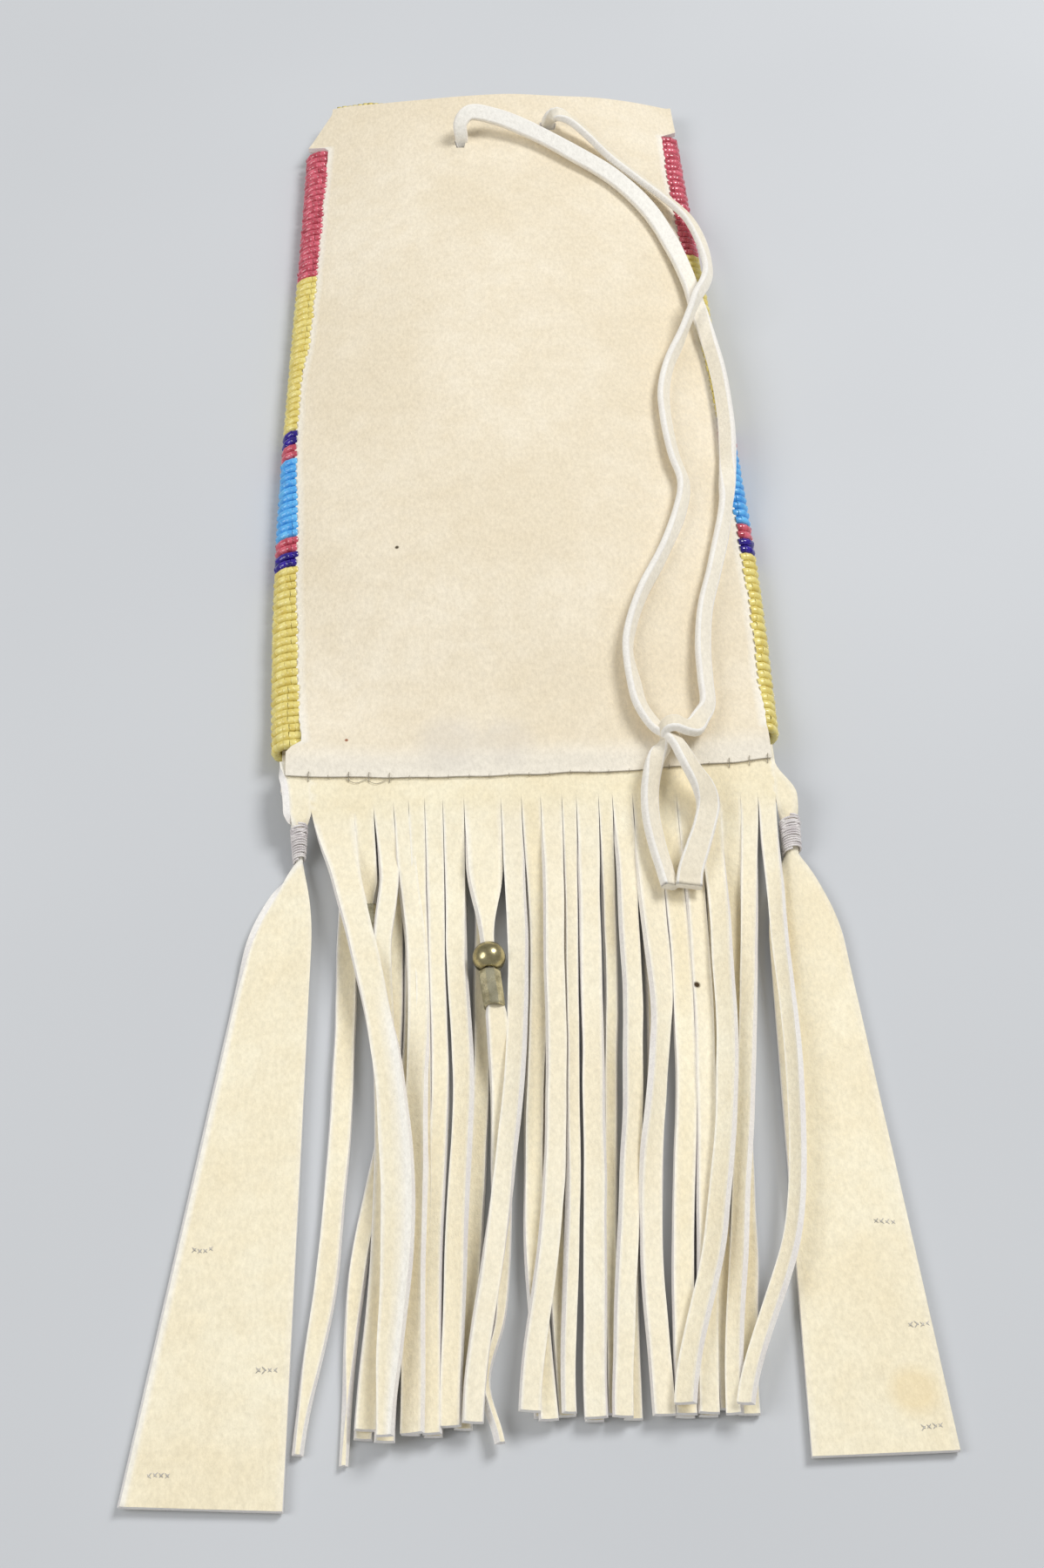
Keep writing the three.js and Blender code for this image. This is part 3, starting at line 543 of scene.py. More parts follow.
class Nodes:
    """A material's node tree, with short calls to add and join nodes."""

    def __init__(self, name):
        self.material = bpy.data.materials.new(name)
        self.material.use_nodes = True
        self.tree = self.material.node_tree
        self.shader = self.tree.nodes["Principled BSDF"]
        self.place = self.add("ShaderNodeTexCoord").outputs["Object"]

    def add(self, kind, inputs=None, **settings):
        node = self.tree.nodes.new(kind)
        for key, value in settings.items():
            setattr(node, key, value)
        for key, value in (inputs or {}).items():
            self.put(node.inputs[key], value)
        return node

    def put(self, socket, value):
        if isinstance(value, bpy.types.NodeSocket):
            self.tree.links.new(value, socket)
        else:
            socket.default_value = value

    def set(self, **values):
        for key, value in values.items():
            self.put(self.shader.inputs[key.replace("_", " ")], value)

    def noise(self, scale, detail=2.0, roughness=0.5, stretch=None):
        place = self.place
        if stretch:
            place = self.add("ShaderNodeMapping", {"Vector": place, "Scale": stretch}).outputs["Vector"]
        settings = {"Vector": place, "Scale": scale, "Detail": detail, "Roughness": roughness}
        return self.add("ShaderNodeTexNoise", settings).outputs["Fac"]

    def ramp(self, value, low, high, start=0.0, end=1.0):
        inputs = {"Value": value, "From Min": low, "From Max": high, "To Min": start, "To Max": end}
        return self.add("ShaderNodeMapRange", inputs).outputs["Result"]

    def math(self, operation, a, b):
        return self.add("ShaderNodeMath", {0: a, 1: b}, operation=operation).outputs["Value"]

    def mix(self, share, a, b, blend="MIX"):
        node = self.add("ShaderNodeMix", data_type="RGBA", blend_type=blend)
        self.put(node.inputs["Factor"], share)
        self.put(node.inputs["A"], a)
        self.put(node.inputs["B"], b)
        return node.outputs["Result"]

    def grained(self, base, fibres, most=1.06):
        """A colour made a little darker and lighter by fine fibres."""
        grain = self.ramp(fibres, 0.3, 0.7, 0.9, most)
        shade = self.add("ShaderNodeCombineColor", {0: grain, 1: grain, 2: grain}).outputs["Color"]
        return self.mix(1.0, base, shade, "MULTIPLY")

    def attribute(self, name):
        return self.add("ShaderNodeAttribute", attribute_name=name).outputs["Fac"]

    def spot(self, point, radius):
        """1 within a radius of a place (x, y) in the bag's frame, in millimetres, and 0 outside it."""
        flat = self.add("ShaderNodeVectorMath", {0: self.place, 1: (1, 1, 0)}, operation="MULTIPLY")
        inputs = {0: flat.outputs["Vector"], 1: tuple(in_frame((*point, 0)))}
        distance = self.add("ShaderNodeVectorMath", inputs, operation="DISTANCE").outputs["Value"]
        return self.ramp(distance, radius * MM, 0.5 * radius * MM)

    def bump(self, height, distance, strength=1.0, under=None):
        inputs = {"Height": height, "Distance": distance * MM, "Strength": strength}
        if under is not None:
            inputs["Normal"] = under
        return self.add("ShaderNodeBump", inputs).outputs["Normal"]


def colour(red, green, blue):
    """Linear colour from the 0 to 255 values that it shows as."""
    def linear(value):
        share = value / 255
        return share / 12.92 if share <= 0.04045 else ((share + 0.055) / 1.055) ** 2.4
    return (linear(red), linear(green), linear(blue), 1.0)


def suede(name, light, dark, pale, spots=()):
    """Soft hide: a mottled nap, paler where its tone is high, with fine fibres and any dark specks."""
    made = Nodes(name)
    broad = made.ramp(made.noise(38, 2), 0.35, 0.65)
    mottle = made.ramp(made.noise(210, 3, 0.6), 0.35, 0.68)
    nap = made.noise(1500, 3, 0.7, stretch=(1.0, 0.55, 1.0))
    base = made.mix(made.math("MULTIPLY", broad, 0.55), light, dark)
    base = made.mix(made.math("MULTIPLY", mottle, 0.38), base, dark)
    base = made.mix(made.ramp(made.attribute("tone"), 0.0, 1.0), base, pale)
    base = made.grained(base, nap)
    for point, radius, tint, share in spots:
        base = made.mix(made.math("MULTIPLY", made.spot(point, radius), share), base, tint)
    under = made.bump(made.noise(330, 3, 0.6), 0.35, 0.5)
    made.set(
        Base_Color=base, Roughness=0.93, Normal=made.bump(nap, 0.22, 0.55, under),
        Specular_IOR_Level=0.2, Sheen_Weight=0.22, Sheen_Roughness=0.45,
    )
    made.shader.inputs["Sheen Tint"].default_value = colour(255, 246, 230)
    return made.material


def cut_edge(name, light, dark):
    """Raw edge of a hide: pale and fibrous."""
    made = Nodes(name)
    fibres = made.noise(1700, 3, 0.75)
    patches = made.ramp(made.noise(160, 2), 0.35, 0.65)
    base = made.mix(made.math("MULTIPLY", patches, 0.5), light, dark)
    made.set(
        Base_Color=made.grained(base, fibres, 1.05), Roughness=0.95,
        Normal=made.bump(fibres, 0.25, 0.6), Specular_IOR_Level=0.15, Sheen_Weight=0.2,
    )
    return made.material


def glass_beads(name, base, deep, roughness, coat):
    """Seed beads: each bead a little lighter or deeper than the next, glossy and faintly uneven."""
    made = Nodes(name)
    each = made.add("ShaderNodeNewGeometry").outputs["Random Per Island"]
    streak = made.ramp(made.noise(900, 2), 0.35, 0.65, 0.0, 0.35)
    share = made.math("ADD", made.math("MULTIPLY", each, 0.55), streak)
    made.set(
        Base_Color=made.mix(share, base, deep),
        Roughness=made.ramp(made.noise(700, 2), 0.3, 0.7, roughness, roughness + 0.1),
        Specular_IOR_Level=0.6, Coat_Weight=coat, Coat_Roughness=0.08,
        Normal=made.bump(made.noise(600, 1), 0.08, 0.3),
    )
    return made.material


def old_brass(name, rubbed, dull):
    """Brass gone dull, brighter where it is rubbed, with small dents."""
    made = Nodes(name)
    tarnish = made.ramp(made.noise(420, 4, 0.65), 0.4, 0.7)
    base = made.mix(tarnish, rubbed, dull)
    dents = made.noise(260, 2)
    fine = made.noise(2200, 2)
    made.set(
        Base_Color=base, Metallic=1.0, Roughness=made.ramp(tarnish, 0, 1, 0.22, 0.4),
        Normal=made.bump(fine, 0.05, 0.3, made.bump(dents, 0.35, 0.4)),
    )
    return made.material


def spun_thread(name, light, dark):
    """Thread with its twist and a little fluff."""
    made = Nodes(name)
    wave = {"Vector": made.place, "Scale": 900.0, "Distortion": 3.0}
    twist = made.add("ShaderNodeTexWave", wave).outputs["Fac"]
    patches = made.ramp(made.noise(500, 3), 0.3, 0.7)
    made.set(
        Base_Color=made.mix(patches, light, dark), Roughness=0.85, Normal=made.bump(twist, 0.12, 0.5),
        Specular_IOR_Level=0.25, Sheen_Weight=0.15,
    )
    return made.material


BACK_HIDE = suede(
    "back_hide", colour(243, 233, 212), colour(230, 216, 188), colour(248, 244, 234),
    spots=(
        ((-24.8, 56.4), 0.55, colour(84, 74, 58), 1.0),
        ((-35.2, 8.6), 0.45, colour(150, 84, 52), 0.9),
        ((-15, 7), 8, colour(206, 200, 194), 0.3),
        ((-4, 7), 7, colour(206, 200, 194), 0.26),
    ),
)
FRINGE_HIDE = suede(
    "fringe_hide", colour(251, 243, 216), colour(240, 225, 188), colour(252, 249, 240),
    spots=(((28.9, -46.4), 0.8, colour(72, 56, 36), 1.0), ((57.5, -122), 5, colour(236, 206, 140), 0.3)),
)
HIDE_EDGE = cut_edge("hide_edge", colour(250, 247, 242), colour(238, 232, 231))
LACE_FACE = suede("lace_face", colour(242, 233, 211), colour(230, 217, 188), colour(250, 248, 242))
LACE_EDGE = cut_edge("lace_edge", colour(250, 247, 240), colour(240, 235, 228))
BRASS = old_brass("old_brass", colour(192, 182, 142), colour(128, 118, 84))
TUBE_BRASS = old_brass("tube_brass", colour(226, 220, 190), colour(134, 126, 96))
WRAPPING = spun_thread("wrapping_thread", colour(246, 242, 240), colour(216, 209, 210))
SEWING = spun_thread("sewing_thread", colour(186, 178, 160), colour(150, 142, 126))
TYING = spun_thread("tying_thread", colour(222, 219, 212), colour(184, 180, 174))
BEADS = {
    "rose": glass_beads("rose_glass", colour(232, 110, 130), colour(160, 36, 56), 0.16, 0.5),
    "yellow": glass_beads("yellow_glass", colour(246, 233, 150), colour(220, 197, 92), 0.26, 0.3),
    "navy": glass_beads("navy_glass", colour(50, 16, 166), colour(14, 2, 84), 0.1, 0.35),
    "light_blue": glass_beads("light_blue_glass", colour(112, 200, 253), colour(44, 146, 228), 0.28, 0.3),
}


# Camera


def make_camera():
    data = bpy.data.cameras.new("camera")
    data.lens = CAMERA_LENS
    data.clip_start = 0.01
    camera = in_scene("camera", data)
    camera.location = in_frame(CAMERA_AT)
    look = Vector(in_frame(CAMERA_LOOKS_AT)) - camera.location
    camera.rotation_euler = look.to_track_quat("-Z", "Y").to_euler()
    bpy.context.scene.camera = camera


make_camera()


# Lace


def lace_section(width, thickness):
    """Outline of the lace, as points across and through it: two broad faces with rounded edges between."""
    side, top = width / 2 - LACE_CORNER, thickness / 2 - LACE_CORNER
    outline = []
    for start, across, high in ((0, side, top), (90, -side, top), (180, -side, -top), (270, side, -top)):
        for turn in (0, 45, 90):
            angle = math.radians(start + turn)
            outline.append((across + LACE_CORNER * math.cos(angle), high + LACE_CORNER * math.sin(angle)))
    return outline


def lace_mesh(path, turns):
    """Points, faces, face materials and tones of a lace along a path, turned as its stations say."""
    along = directions(path)
    count = len(path)
    shares = np.linspace(0, 1, count)
    table = np.array([(share, *look, width, tone) for share, look, width, tone in turns])
    *looks, widths, tones = (np.interp(shares, table[:, 0], table[:, k]) for k in range(1, 6))
    over = Vector((0, 0, 1))
    points = []
    for i, point in enumerate(path):
        direction = Vector(along[i])
        over = LACE_STIFFNESS * over + LACE_TURN * Vector([axis[i] for axis in looks]).normalized()
        over = (over - direction * over.dot(direction)).normalized()
        across = direction.cross(over)
        width = LACE_WIDTH * widths[i] * (1 + LACE_UNEVEN * wrinkle(i * LACE_STEP, 0, 9, 3.3))
        section = lace_section(width, LACE_THICKNESS * min(widths[i], 1))
        points.extend(Vector(point) + across * x + over * z for x, z in section)
    sides = len(section)
    ends = tuple(range(sides)), tuple(reversed(range(len(points) - sides, len(points))))
    faces = [*ring_faces(count, sides, flip=True), *ends]
    kinds = [0 if side in BROAD_SIDES else 1 for side in range(sides)] * (count - 1)
    return points, faces, [*kinds, 1, 1], np.repeat(tones, sides)


def add_lace(name, points, turns, nodes):
    path = smooth_path(points, LACE_STEP)
    mesh_points, faces, kinds, tones = lace_mesh(path, turns)
    piece = new_piece(name, mesh_points, faces, [LACE_FACE, LACE_EDGE], nodes, kinds, tones)
    piece.modifiers.new("shading", "WEIGHTED_NORMAL")


def add_laces():
    left = [*LEFT_INSIDE, *LEFT_LACE, *LEFT_TAIL]
    right = [*RIGHT_INSIDE, *RIGHT_LACE, *RIGHT_TAIL]
    left_nodes = ("lace_left_run", "lace_left_tail", "lace_knot", "lace_inside")
    add_lace("left_lace", left, LEFT_TURNS, left_nodes)
    right_nodes = ("lace_right_run", "lace_right_tail")
    add_lace("right_lace", right, RIGHT_TURNS, right_nodes)


add_laces()


# Pouch outline


def half_width(y):
    share = (y - BARE_BOTTOM) / LANE_LENGTH
    inside = np.clip(share, 0, 1)
    bow = SIDE_BOW * (27 / 4) * inside * (1 - inside) ** 2
    return lerp(WIDTH_BOTTOM, WIDTH_TOP, share) / 2 + bow


def hide_edge(y):
    return half_width(y) - BEAD_HEIGHT - GAP


def over_leg(side, y):
    """How far the bead rows reach onto the back, a little unevenly."""
    uneven = LEG_UNEVEN * wrinkle(40 * side, y, 7, 2.9)
    if side < 0:
        return float(through(LEFT_LEGS, (y - BARE_BOTTOM) / LANE_LENGTH)) + uneven
    return lerp(RIGHT_LEG_BOTTOM, RIGHT_LEG_TOP, (y - BARE_BOTTOM) / LANE_LENGTH) + uneven


def lane_top(side):
    return LANE_TOP if side < 0 else RIGHT_LANE_TOP


def corner_cut(side, y):
    """How far a panel's edge is drawn in towards the corner of the mouth."""
    corner, start = LEFT_CORNER if side < 0 else RIGHT_CORNER, lane_top(side)
    return corner * float(np.clip((y - start - 1) / (POUCH_HEIGHT - start - 1), 0, 1))


def back_edge(side, y):
    """Edge of the back panel: against the bead rows, and out at the pouch's edge above and below them."""
    top = lane_top(side)
    inside = hide_edge(y) - over_leg(side, y) + EDGE_OVERLAP
    bare = hide_edge(y) + BARE_REACH - corner_cut(side, y)
    below = max(inside, hide_edge(y) - BOTTOM_INSET)
    inside = lerp(below, inside, ease(y, BARE_BOTTOM - 1.6, BARE_BOTTOM + 0.2))
    return side * lerp(inside, bare, ease(y, top - 0.4, top + 1))


def mouth_line(s):
    return POUCH_HEIGHT + float(through(MOUTH_RISE, (s + 1) / 2))


def back_underside(s, y):
    edge = lerp(SEAM_LEVEL, SIDE_LEVEL, ease(y, FLAT_END, FLAT_END + SIDE_RISE))
    centre = lerp(SEAM_LEVEL, SIDE_LEVEL + POUCH_DEPTH, ease(y, FLAT_END, FLAT_END + CENTRE_RISE))
    return edge + (centre - edge) * (1 - abs(s) ** DOME_FULLNESS)


def seam_line(s):
    return SEAM_RISE - SEAM_SAG * (1 - s * s) + SEAM_UNEVEN * wrinkle(46 * s, 0, 8, 1.3)


# Panels


def around_hole(x, y, hole):
    """Pushes a point out of a lace hole, and tells how close to the hole's rim it lies."""
    reach = HOLE_REACH * HOLE_RADIUS
    offset = Vector((x - hole[0], y - hole[1]))
    distance = offset.length
    if distance >= reach:
        return x, y, 0.0
    out = HOLE_PUSH * HOLE_RADIUS + distance * (reach - HOLE_PUSH * HOLE_RADIUS) / reach
    moved = offset * (out / max(distance, 0.01))
    return hole[0] + moved.x, hole[1] + moved.y, 1 - distance / reach


def back_panel():
    """The plain back: domed, faintly uneven, drawn in at each bead row along its sides."""
    rows, columns = BACK_GRID
    grid = np.zeros((rows, columns, 3))
    tones = np.zeros((rows, columns))
    fullness = np.ones((rows, columns))
    for row in range(rows):
        for column in range(columns):
            u = column / (columns - 1)
            s = 2 * u - 1
            y = lerp(mouth_line(s), seam_line(s), row / (rows - 1))
            x = lerp(back_edge(-1, y), back_edge(1, y), u)
            margin = min(x - back_edge(-1, y), back_edge(1, y) - x)
            top = lane_top(s)
            on_lane = BARE_BOTTOM < y < top
            if on_lane and margin < BITE_REACH:
                bite = abs(math.sin(math.pi * (y - BARE_BOTTOM) / ROW_PITCH))
                x -= math.copysign(ROW_BITE * bite * (1 - margin / BITE_REACH), s)
            pucker = 0.0
            for hole in (LEFT_HOLE, RIGHT_HOLE):
                x, y, near = around_hole(x, y, hole)
                pucker += HOLE_PUCKER * near**2
            swell = sum(height * wrinkle(x, y, size, seed) for height, size, seed in BACK_SWELLS)
            calm = min(1, margin / 8) * ease(y, 2, 16)
            full = lerp(SEAM_FULLNESS, 1, ease(y - seam_line(s), 0, 4.5))
            dome = lerp(s, np.clip(x / hide_edge(y), -1, 1), ease(y, top - 12, top))
            grid[row, column] = (x, y, back_underside(dome, y) + full * HIDE / 2 + swell * calm + pucker)
            fullness[row, column] = full
            border = 1 - ease(margin, 0.3, 2.2) if on_lane else 0.0
            # Painted highlight: the hide is made paler in a band just above the bottom seam, standing in for
            # the light on its soft roll down to the seam.
            bottom = 1 - ease(y - seam_line(s), 2.0, 8.0)
            tones[row, column] = max(0.9 * border, 0.6 * bottom)
    return grid, tones, fullness


def cut_holes(surface):
    """Takes away the faces that were drawn over the lace holes."""
    holes = [Vector(in_frame((*hole, 0))).xy for hole in (LEFT_HOLE, RIGHT_HOLE)]
    inside = [
        face for face in surface.faces
        if any((face.calc_center_median().xy - hole).length < 0.75 * HOLE_RADIUS * MM for hole in holes)
    ]
    bmesh.ops.delete(surface, geom=inside, context="FACES")


def lip_curl(x, y):
    """How far the end of the front is curled up behind the left corner of the mouth."""
    return ease(y, FRONT_END - 4, FRONT_END - 1) * ease(-x, 8, 34)


def front_panel():
    rows, columns = FRONT_GRID
    grid = np.zeros((rows, columns, 3))
    for row in range(rows):
        y = lerp(FRONT_END, 0, row / (rows - 1))
        for column in range(columns):
            s = 2 * column / (columns - 1) - 1
            x = s * (hide_edge(y) + min(0, BARE_REACH - corner_cut(s, y)))
            flat = BEAD_HEIGHT + GAP + HIDE / 2 + 0.08 * wrinkle(s * 48, y, 15, 8.8)
            raised = back_underside(x / hide_edge(y), y) - HIDE / 2 - GAP
            grid[row, column] = (x, y, lerp(flat, max(flat, raised), lip_curl(x, y)))
    return grid, 0.2, 1.0


def add_panels():
    back = hide_piece("back_panel_hide", [back_panel()], [BACK_HIDE, HIDE_EDGE], ["back_panel"])
    change_mesh(back, cut_holes)
    front = hide_piece("front_panel_hide", [front_panel()], [BACK_HIDE, HIDE_EDGE], ["front_panel"])


add_panels()


# Beadwork


def bead_template(rings, segments):
    """A small barrel round X with a hole, one long and one wide, as points and faces."""
    profile = []
    for i in range(rings):
        angle = 2 * math.pi * i / rings
        c, s = math.cos(angle), math.sin(angle)
        along = math.copysign(abs(s) ** 0.4, s) * 0.5
        profile.append((1 - BEAD_WALL + BEAD_WALL * math.copysign(abs(c) ** 0.5, c), along))
    points, faces = turned(profile, segments)
    return points[:, [1, 2, 0]], np.array(faces)


FINE_BEAD = bead_template(8, 10)
PLAIN_BEAD = bead_template(4, 6)


def string_beads(places, template):
    """Points and faces of beads at places of (centre, direction along the row, outward, length)."""
    shape, shape_faces = template
    points, faces = [], []
    for index, (centre, along, out, length) in enumerate(places):
        along, out = Vector(along).normalized(), Vector(out).normalized()
        tilt = Matrix.Rotation(rng.uniform(-BEAD_TILT, BEAD_TILT), 3, out)
        side = along.cross(out)
        size = rng.uniform(*BEAD_SIZES)
        axes = np.array([
            np.array(tilt @ along) * length,
            np.array(tilt @ side) * size * ROW_PITCH / 2,
            np.array(tilt @ out) * size * BEAD_HEIGHT / 2,
        ])
        points.append(shape @ axes + np.array(centre))
        faces.append(shape_faces + index * len(shape))
    return np.concatenate(points), np.concatenate(faces).tolist()


def edge_row(side, y):
    """Places of the beads of one row that is wrapped round a side edge, from below to the back."""
    edge = hide_edge(y)
    low, high = BEAD_HEIGHT / 2, (SIDE_LEVEL + back_underside(1, y) + BEAD_HEIGHT) / 2
    over = over_leg(side, y)
    crown = edge - np.clip(over - 0.3, 0, EDGE_ROUND)
    outline = [(edge - UNDER_LEG - rng.uniform(-0.4, 0.4), low), (crown, low)]
    for i in range(1, BEND_STEPS):
        angle = math.pi * i / BEND_STEPS - math.pi / 2
        reach = (edge + GAP + BEAD_HEIGHT / 2 - crown) * math.cos(angle)
        outline.append((crown + reach, (low + high) / 2 + (high - low) / 2 * math.sin(angle)))
    outline += [(crown, high), (edge - over - rng.uniform(-0.1, 0.3), high)]
    path = np.array(outline)
    total = travelled(path)[-1]
    beads = [rng.uniform(0.3, 1), *(rng.uniform(0.9, 1.1) for _ in range(round(total / BEAD_LENGTH)))]
    joints = np.cumsum([0, *beads])
    joints *= total / joints[-1]
    slant = rng.uniform(*ROW_SLANTS[side]) * ease(y, BARE_BOTTOM - 8, BARE_BOTTOM + 25)
    places = []
    for start, end in zip(joints, joints[1:]):
        here = (start + end) / 2
        stops = np.array((here - DIRECTION_STEP, here, here + DIRECTION_STEP))
        behind, (x, z), ahead = on_path(path, stops)
        dx, dz = ahead - behind
        sway = slant * (here / total - SLANT_PIVOT) + rng.uniform(-0.03, 0.03)
        climb = 2 * DIRECTION_STEP * slant / total
        bend = ease(x, edge - 1.5, edge + 0.8) * ease(z, low, low + 1.2)
        length = (end - start) * (BEAD_REACH + BEND_STRETCH * bend)
        places.append(((side * x, y + sway, z), (side * dx, climb, dz), (side * dz, 0, -dx), length))
    return places


def front_row(y):
    reach = hide_edge(y) - UNDER_LEG - GAP
    count = round(2 * reach / FRONT_BEAD_LENGTH)
    length = 2 * reach / count
    places = []
    for i in range(count):
        x = -reach + (i + 0.5) * length
        if y > LANE_TOP and x < back_edge(-1, y) + 0.8:
            continue
        s = x / hide_edge(y)
        curl = lip_curl(x, y)
        ahead = curl * max(0, mouth_line(s) + 0.8 - y)
        z = lerp(BEAD_HEIGHT / 2, back_underside(s, y) + 0.4, curl)
        places.append(((x, y + ahead + rng.uniform(-0.05, 0.05), z), (1, 0, 0), (0, 0, -1), length))
    return places


def add_band(node, tint, bottom, rows, make_row, template):
    places = []
    for row in range(rows):
        places.extend(make_row(bottom + (row + 0.5) * ROW_PITCH))
    points, faces = string_beads(places, template)
    new_piece(f"{node}_beads", points, faces, [BEADS[tint]], [node])


def add_bands(prefix, bands, make_row, template):
    bottom = BARE_BOTTOM + ROW_PITCH * sum(rows for _, rows in bands)
    for index, (tint, rows) in enumerate(bands):
        bottom -= rows * ROW_PITCH
        add_band(f"{prefix}_{index + 1}_{tint}", tint, bottom, rows, make_row, template)


def add_beadwork():
    add_bands("left_edge", LEFT_BANDS, lambda y: edge_row(-1, y), FINE_BEAD)
    add_bands("right_edge", RIGHT_BANDS, lambda y: edge_row(1, y), FINE_BEAD)
    add_bands("front", LEFT_BANDS, front_row, PLAIN_BEAD)
    add_band("front_lip_yellow", "yellow", LANE_TOP, LIP_ROWS, front_row, PLAIN_BEAD)


add_beadwork()


# Fringe


def rest_height(layer):
    return FLOOR_GAP + layer * LAYER_STEP


def hide_height(level, layer, y):
    return lerp(level, rest_height(layer), ease(-y, 0, DESCENT))


def strand_height(level, hide_layer, layer, y):
    shift = rest_height(layer) - rest_height(hide_layer)
    return hide_height(level, hide_layer, y) + shift * ease(-y, ROOT_DEPTH, ROOT_DEPTH + DESCENT)


BAND_ROWS = np.linspace(TUCK, -ROOT_DEPTH, 14)
BEAD_LIFT = rest_height(1) + BEAD_RADIUS
TUBE_LIFT = FLOOR_GAP + TUBE_RADIUS


def between(value, low, high, before, after):
    """1 from a low to a high value, with an eased slope before and after."""
    return ease(value, low - before, low) - ease(value, high, high + after)


def strand_width(index, cut, distance):
    """Width of an upper strand at a distance from its root."""
    if index == WIDE_STRAND:
        return float(through(WIDE_STRAND_WIDTHS, distance / STRAND_LENGTH))
    if index == WIDENED_STRAND:
        return lerp(cut, WIDENED_STRAND_WIDTH, ease(distance, 2, 14))
    if index == BEADED_STRAND:
        above = lerp(cut, BEADED_STRAND_NECK, ease(distance, 12, BEAD_DISTANCE))
        below = lerp(THREADED_WIDTH, BEADED_STRAND_WIDTH, ease(distance, BEAD_END - 2, BEAD_END + 0.6))
        below = lerp(below, BEADED_STRAND_TIP, ease(distance, 70, 112))
        return above if distance < BEAD_DISTANCE else below
    if index == TUBE_STRAND:
        return lerp(cut, THREADED_WIDTH, between(distance, TUBE_DISTANCE, TUBE_END, 6, 4))
    if index == SWOLLEN_STRAND:
        cut += SWELLING * between(distance, 12, 32, 9, 18)
    return cut * (1 - 0.05 * ease(distance, 10, 50) - 0.05 * ease(distance, 90, 120))


def strand_lift(index, distance, height):
    """Height of an upper strand's middle where beads hold it up."""
    if index == BEADED_STRAND:
        return lerp(height, BEAD_LIFT, between(distance, BEAD_DISTANCE, BEAD_END, BEAD_SLOPE, BEAD_SLOPE))
    held = between(distance, TUBE_DISTANCE, TUBE_END, TUBE_SLOPE, TUBE_SLOPE)
    if index == TUBE_STRAND:
        return lerp(height, TUBE_LIFT, held)
    if index == OVER_TUBE_STRAND:
        return height + held * (2 * TUBE_RADIUS - LAYER_STEP)
    return height


STRAND_COLUMNS = np.array((0, 0.16, 0.38, 0.62, 0.84, 1))
EDGE_TONES = np.array((0.9, 0.15, 0, 0, 0.1, 0.6))
FOLD_TONES = np.array((0, 0, 0, 0.5, 1, 1))


def slit_gap(y, top):
    """Half the gap of a slit that begins at a depth below the bag's bottom."""
    return SLIT / 2 * (0.3 * ease(-y, top, top + 3) + 0.7 * ease(-y, top + 8, top + 24))


def strand_grid(levels, left, cut, slits, drift, length, rolls, width_at, lift_at, tone, seed):
    """Grid of one strand, from the top of its hide's band down to its tip, with its tones and fullness.

    Levels are the hide's height at the seam, the hide's layer and the strand's own layer.
    """
    level, hide_layer, layer = levels
    middle = left + cut / 2
    rows = []
    for y in BAND_ROWS[:-1]:
        ends = left + slit_gap(y, slits[0]), left + cut - slit_gap(y, slits[1])
        z = hide_height(level, hide_layer, y) + HIDE / 2
        rows.append([(lerp(*ends, u), y, z) for u in STRAND_COLUMNS])
    steps = round(length / STRAND_STEP)
    shares = np.arange(steps + 1) / steps
    wander = np.array([wrinkle(share * length, seed, 17, 2.2) for share in shares])
    wander = STRAND_WANDER * wander * ease(shares, 0, 0.2)
    places_x = middle + through((0, *drift), shares) + wander
    centres = np.stack((places_x, -ROOT_DEPTH - length * shares), axis=1)
    for share, (x, y), (run_x, run_y) in zip(shares, centres, directions(centres)):
        distance = length * share
        started = ease(distance, 0, STRAND_START)
        across = lerp(np.array((1.0, 0.0)), np.array((-run_y, run_x)), started)
        width = width_at(distance) * (1 + 0.05 * wrinkle(distance, seed, 8, 6.4) * started)
        ends = -width / 2 + slit_gap(y, slits[0]), width / 2 - slit_gap(y, slits[1])
        sway = STRAND_SWAY * wrinkle(distance, seed, 22, 9.7)
        roll = math.radians((float(through(rolls, share)) + sway) * started)
        z = strand_height(level, hide_layer, layer, y) + HIDE / 2 + abs(math.sin(roll)) * width / 2
        z = lift_at(distance, z)
        row = []
        for u in STRAND_COLUMNS:
            reach = lerp(*ends, u)
            flat = across * reach * math.cos(roll)
            cup = STRAND_CUP * (2 * u - 1) ** 2 * started
            row.append((x + flat[0], y + flat[1], z - reach * math.sin(roll) + cup))
        rows.append(row)
    grid = np.array(rows)
    apart = ease(-grid[:, :1, 1], min(slits), ROOT_DEPTH + 4)
    return grid, np.maximum(0.5 * tone, EDGE_TONES) * apart, 1.0


def tab_neck(tab):
    """Places of a tab's neck: its lower end, and its height at both ends."""
    bottom_y = -ROOT_DEPTH - tab["wrap_drop"] - WRAP_LENGTH - NECK_BELOW_WRAP
    top_z = hide_height(UPPER_LEVEL, 1, -ROOT_DEPTH) + HIDE / 2
    bottom_z = FLOOR_GAP + NECK_RADIUS + 0.8
    return bottom_y, top_z, bottom_z


def curled(tab, ends, u, angle):
    """Place across and rise of a tab's hide at share u, with its outer edge curled up by an angle."""
    out = tab["out"]
    x = lerp(*ends, u)
    outer = ends[0] if out < 0 else ends[1]
    turn = math.radians(angle)
    inward = abs(x - outer)
    if inward >= CURL_WIDTH or turn < 0.05:
        return x, 0.0
    radius = CURL_WIDTH / turn
    bent = (CURL_WIDTH - inward) / radius
    return outer - out * CURL_WIDTH + out * radius * math.sin(bent), radius * (1 - math.cos(bent))


def rolled_neck(tab, u, radius):
    """Place across and through a neck of that radius, where the hide is rolled up."""
    angle = math.radians(NECK_TURN) * (u - 0.5)
    return tab["neck_x"] + radius * math.sin(angle), radius * (math.cos(angle) - NECK_SINK)


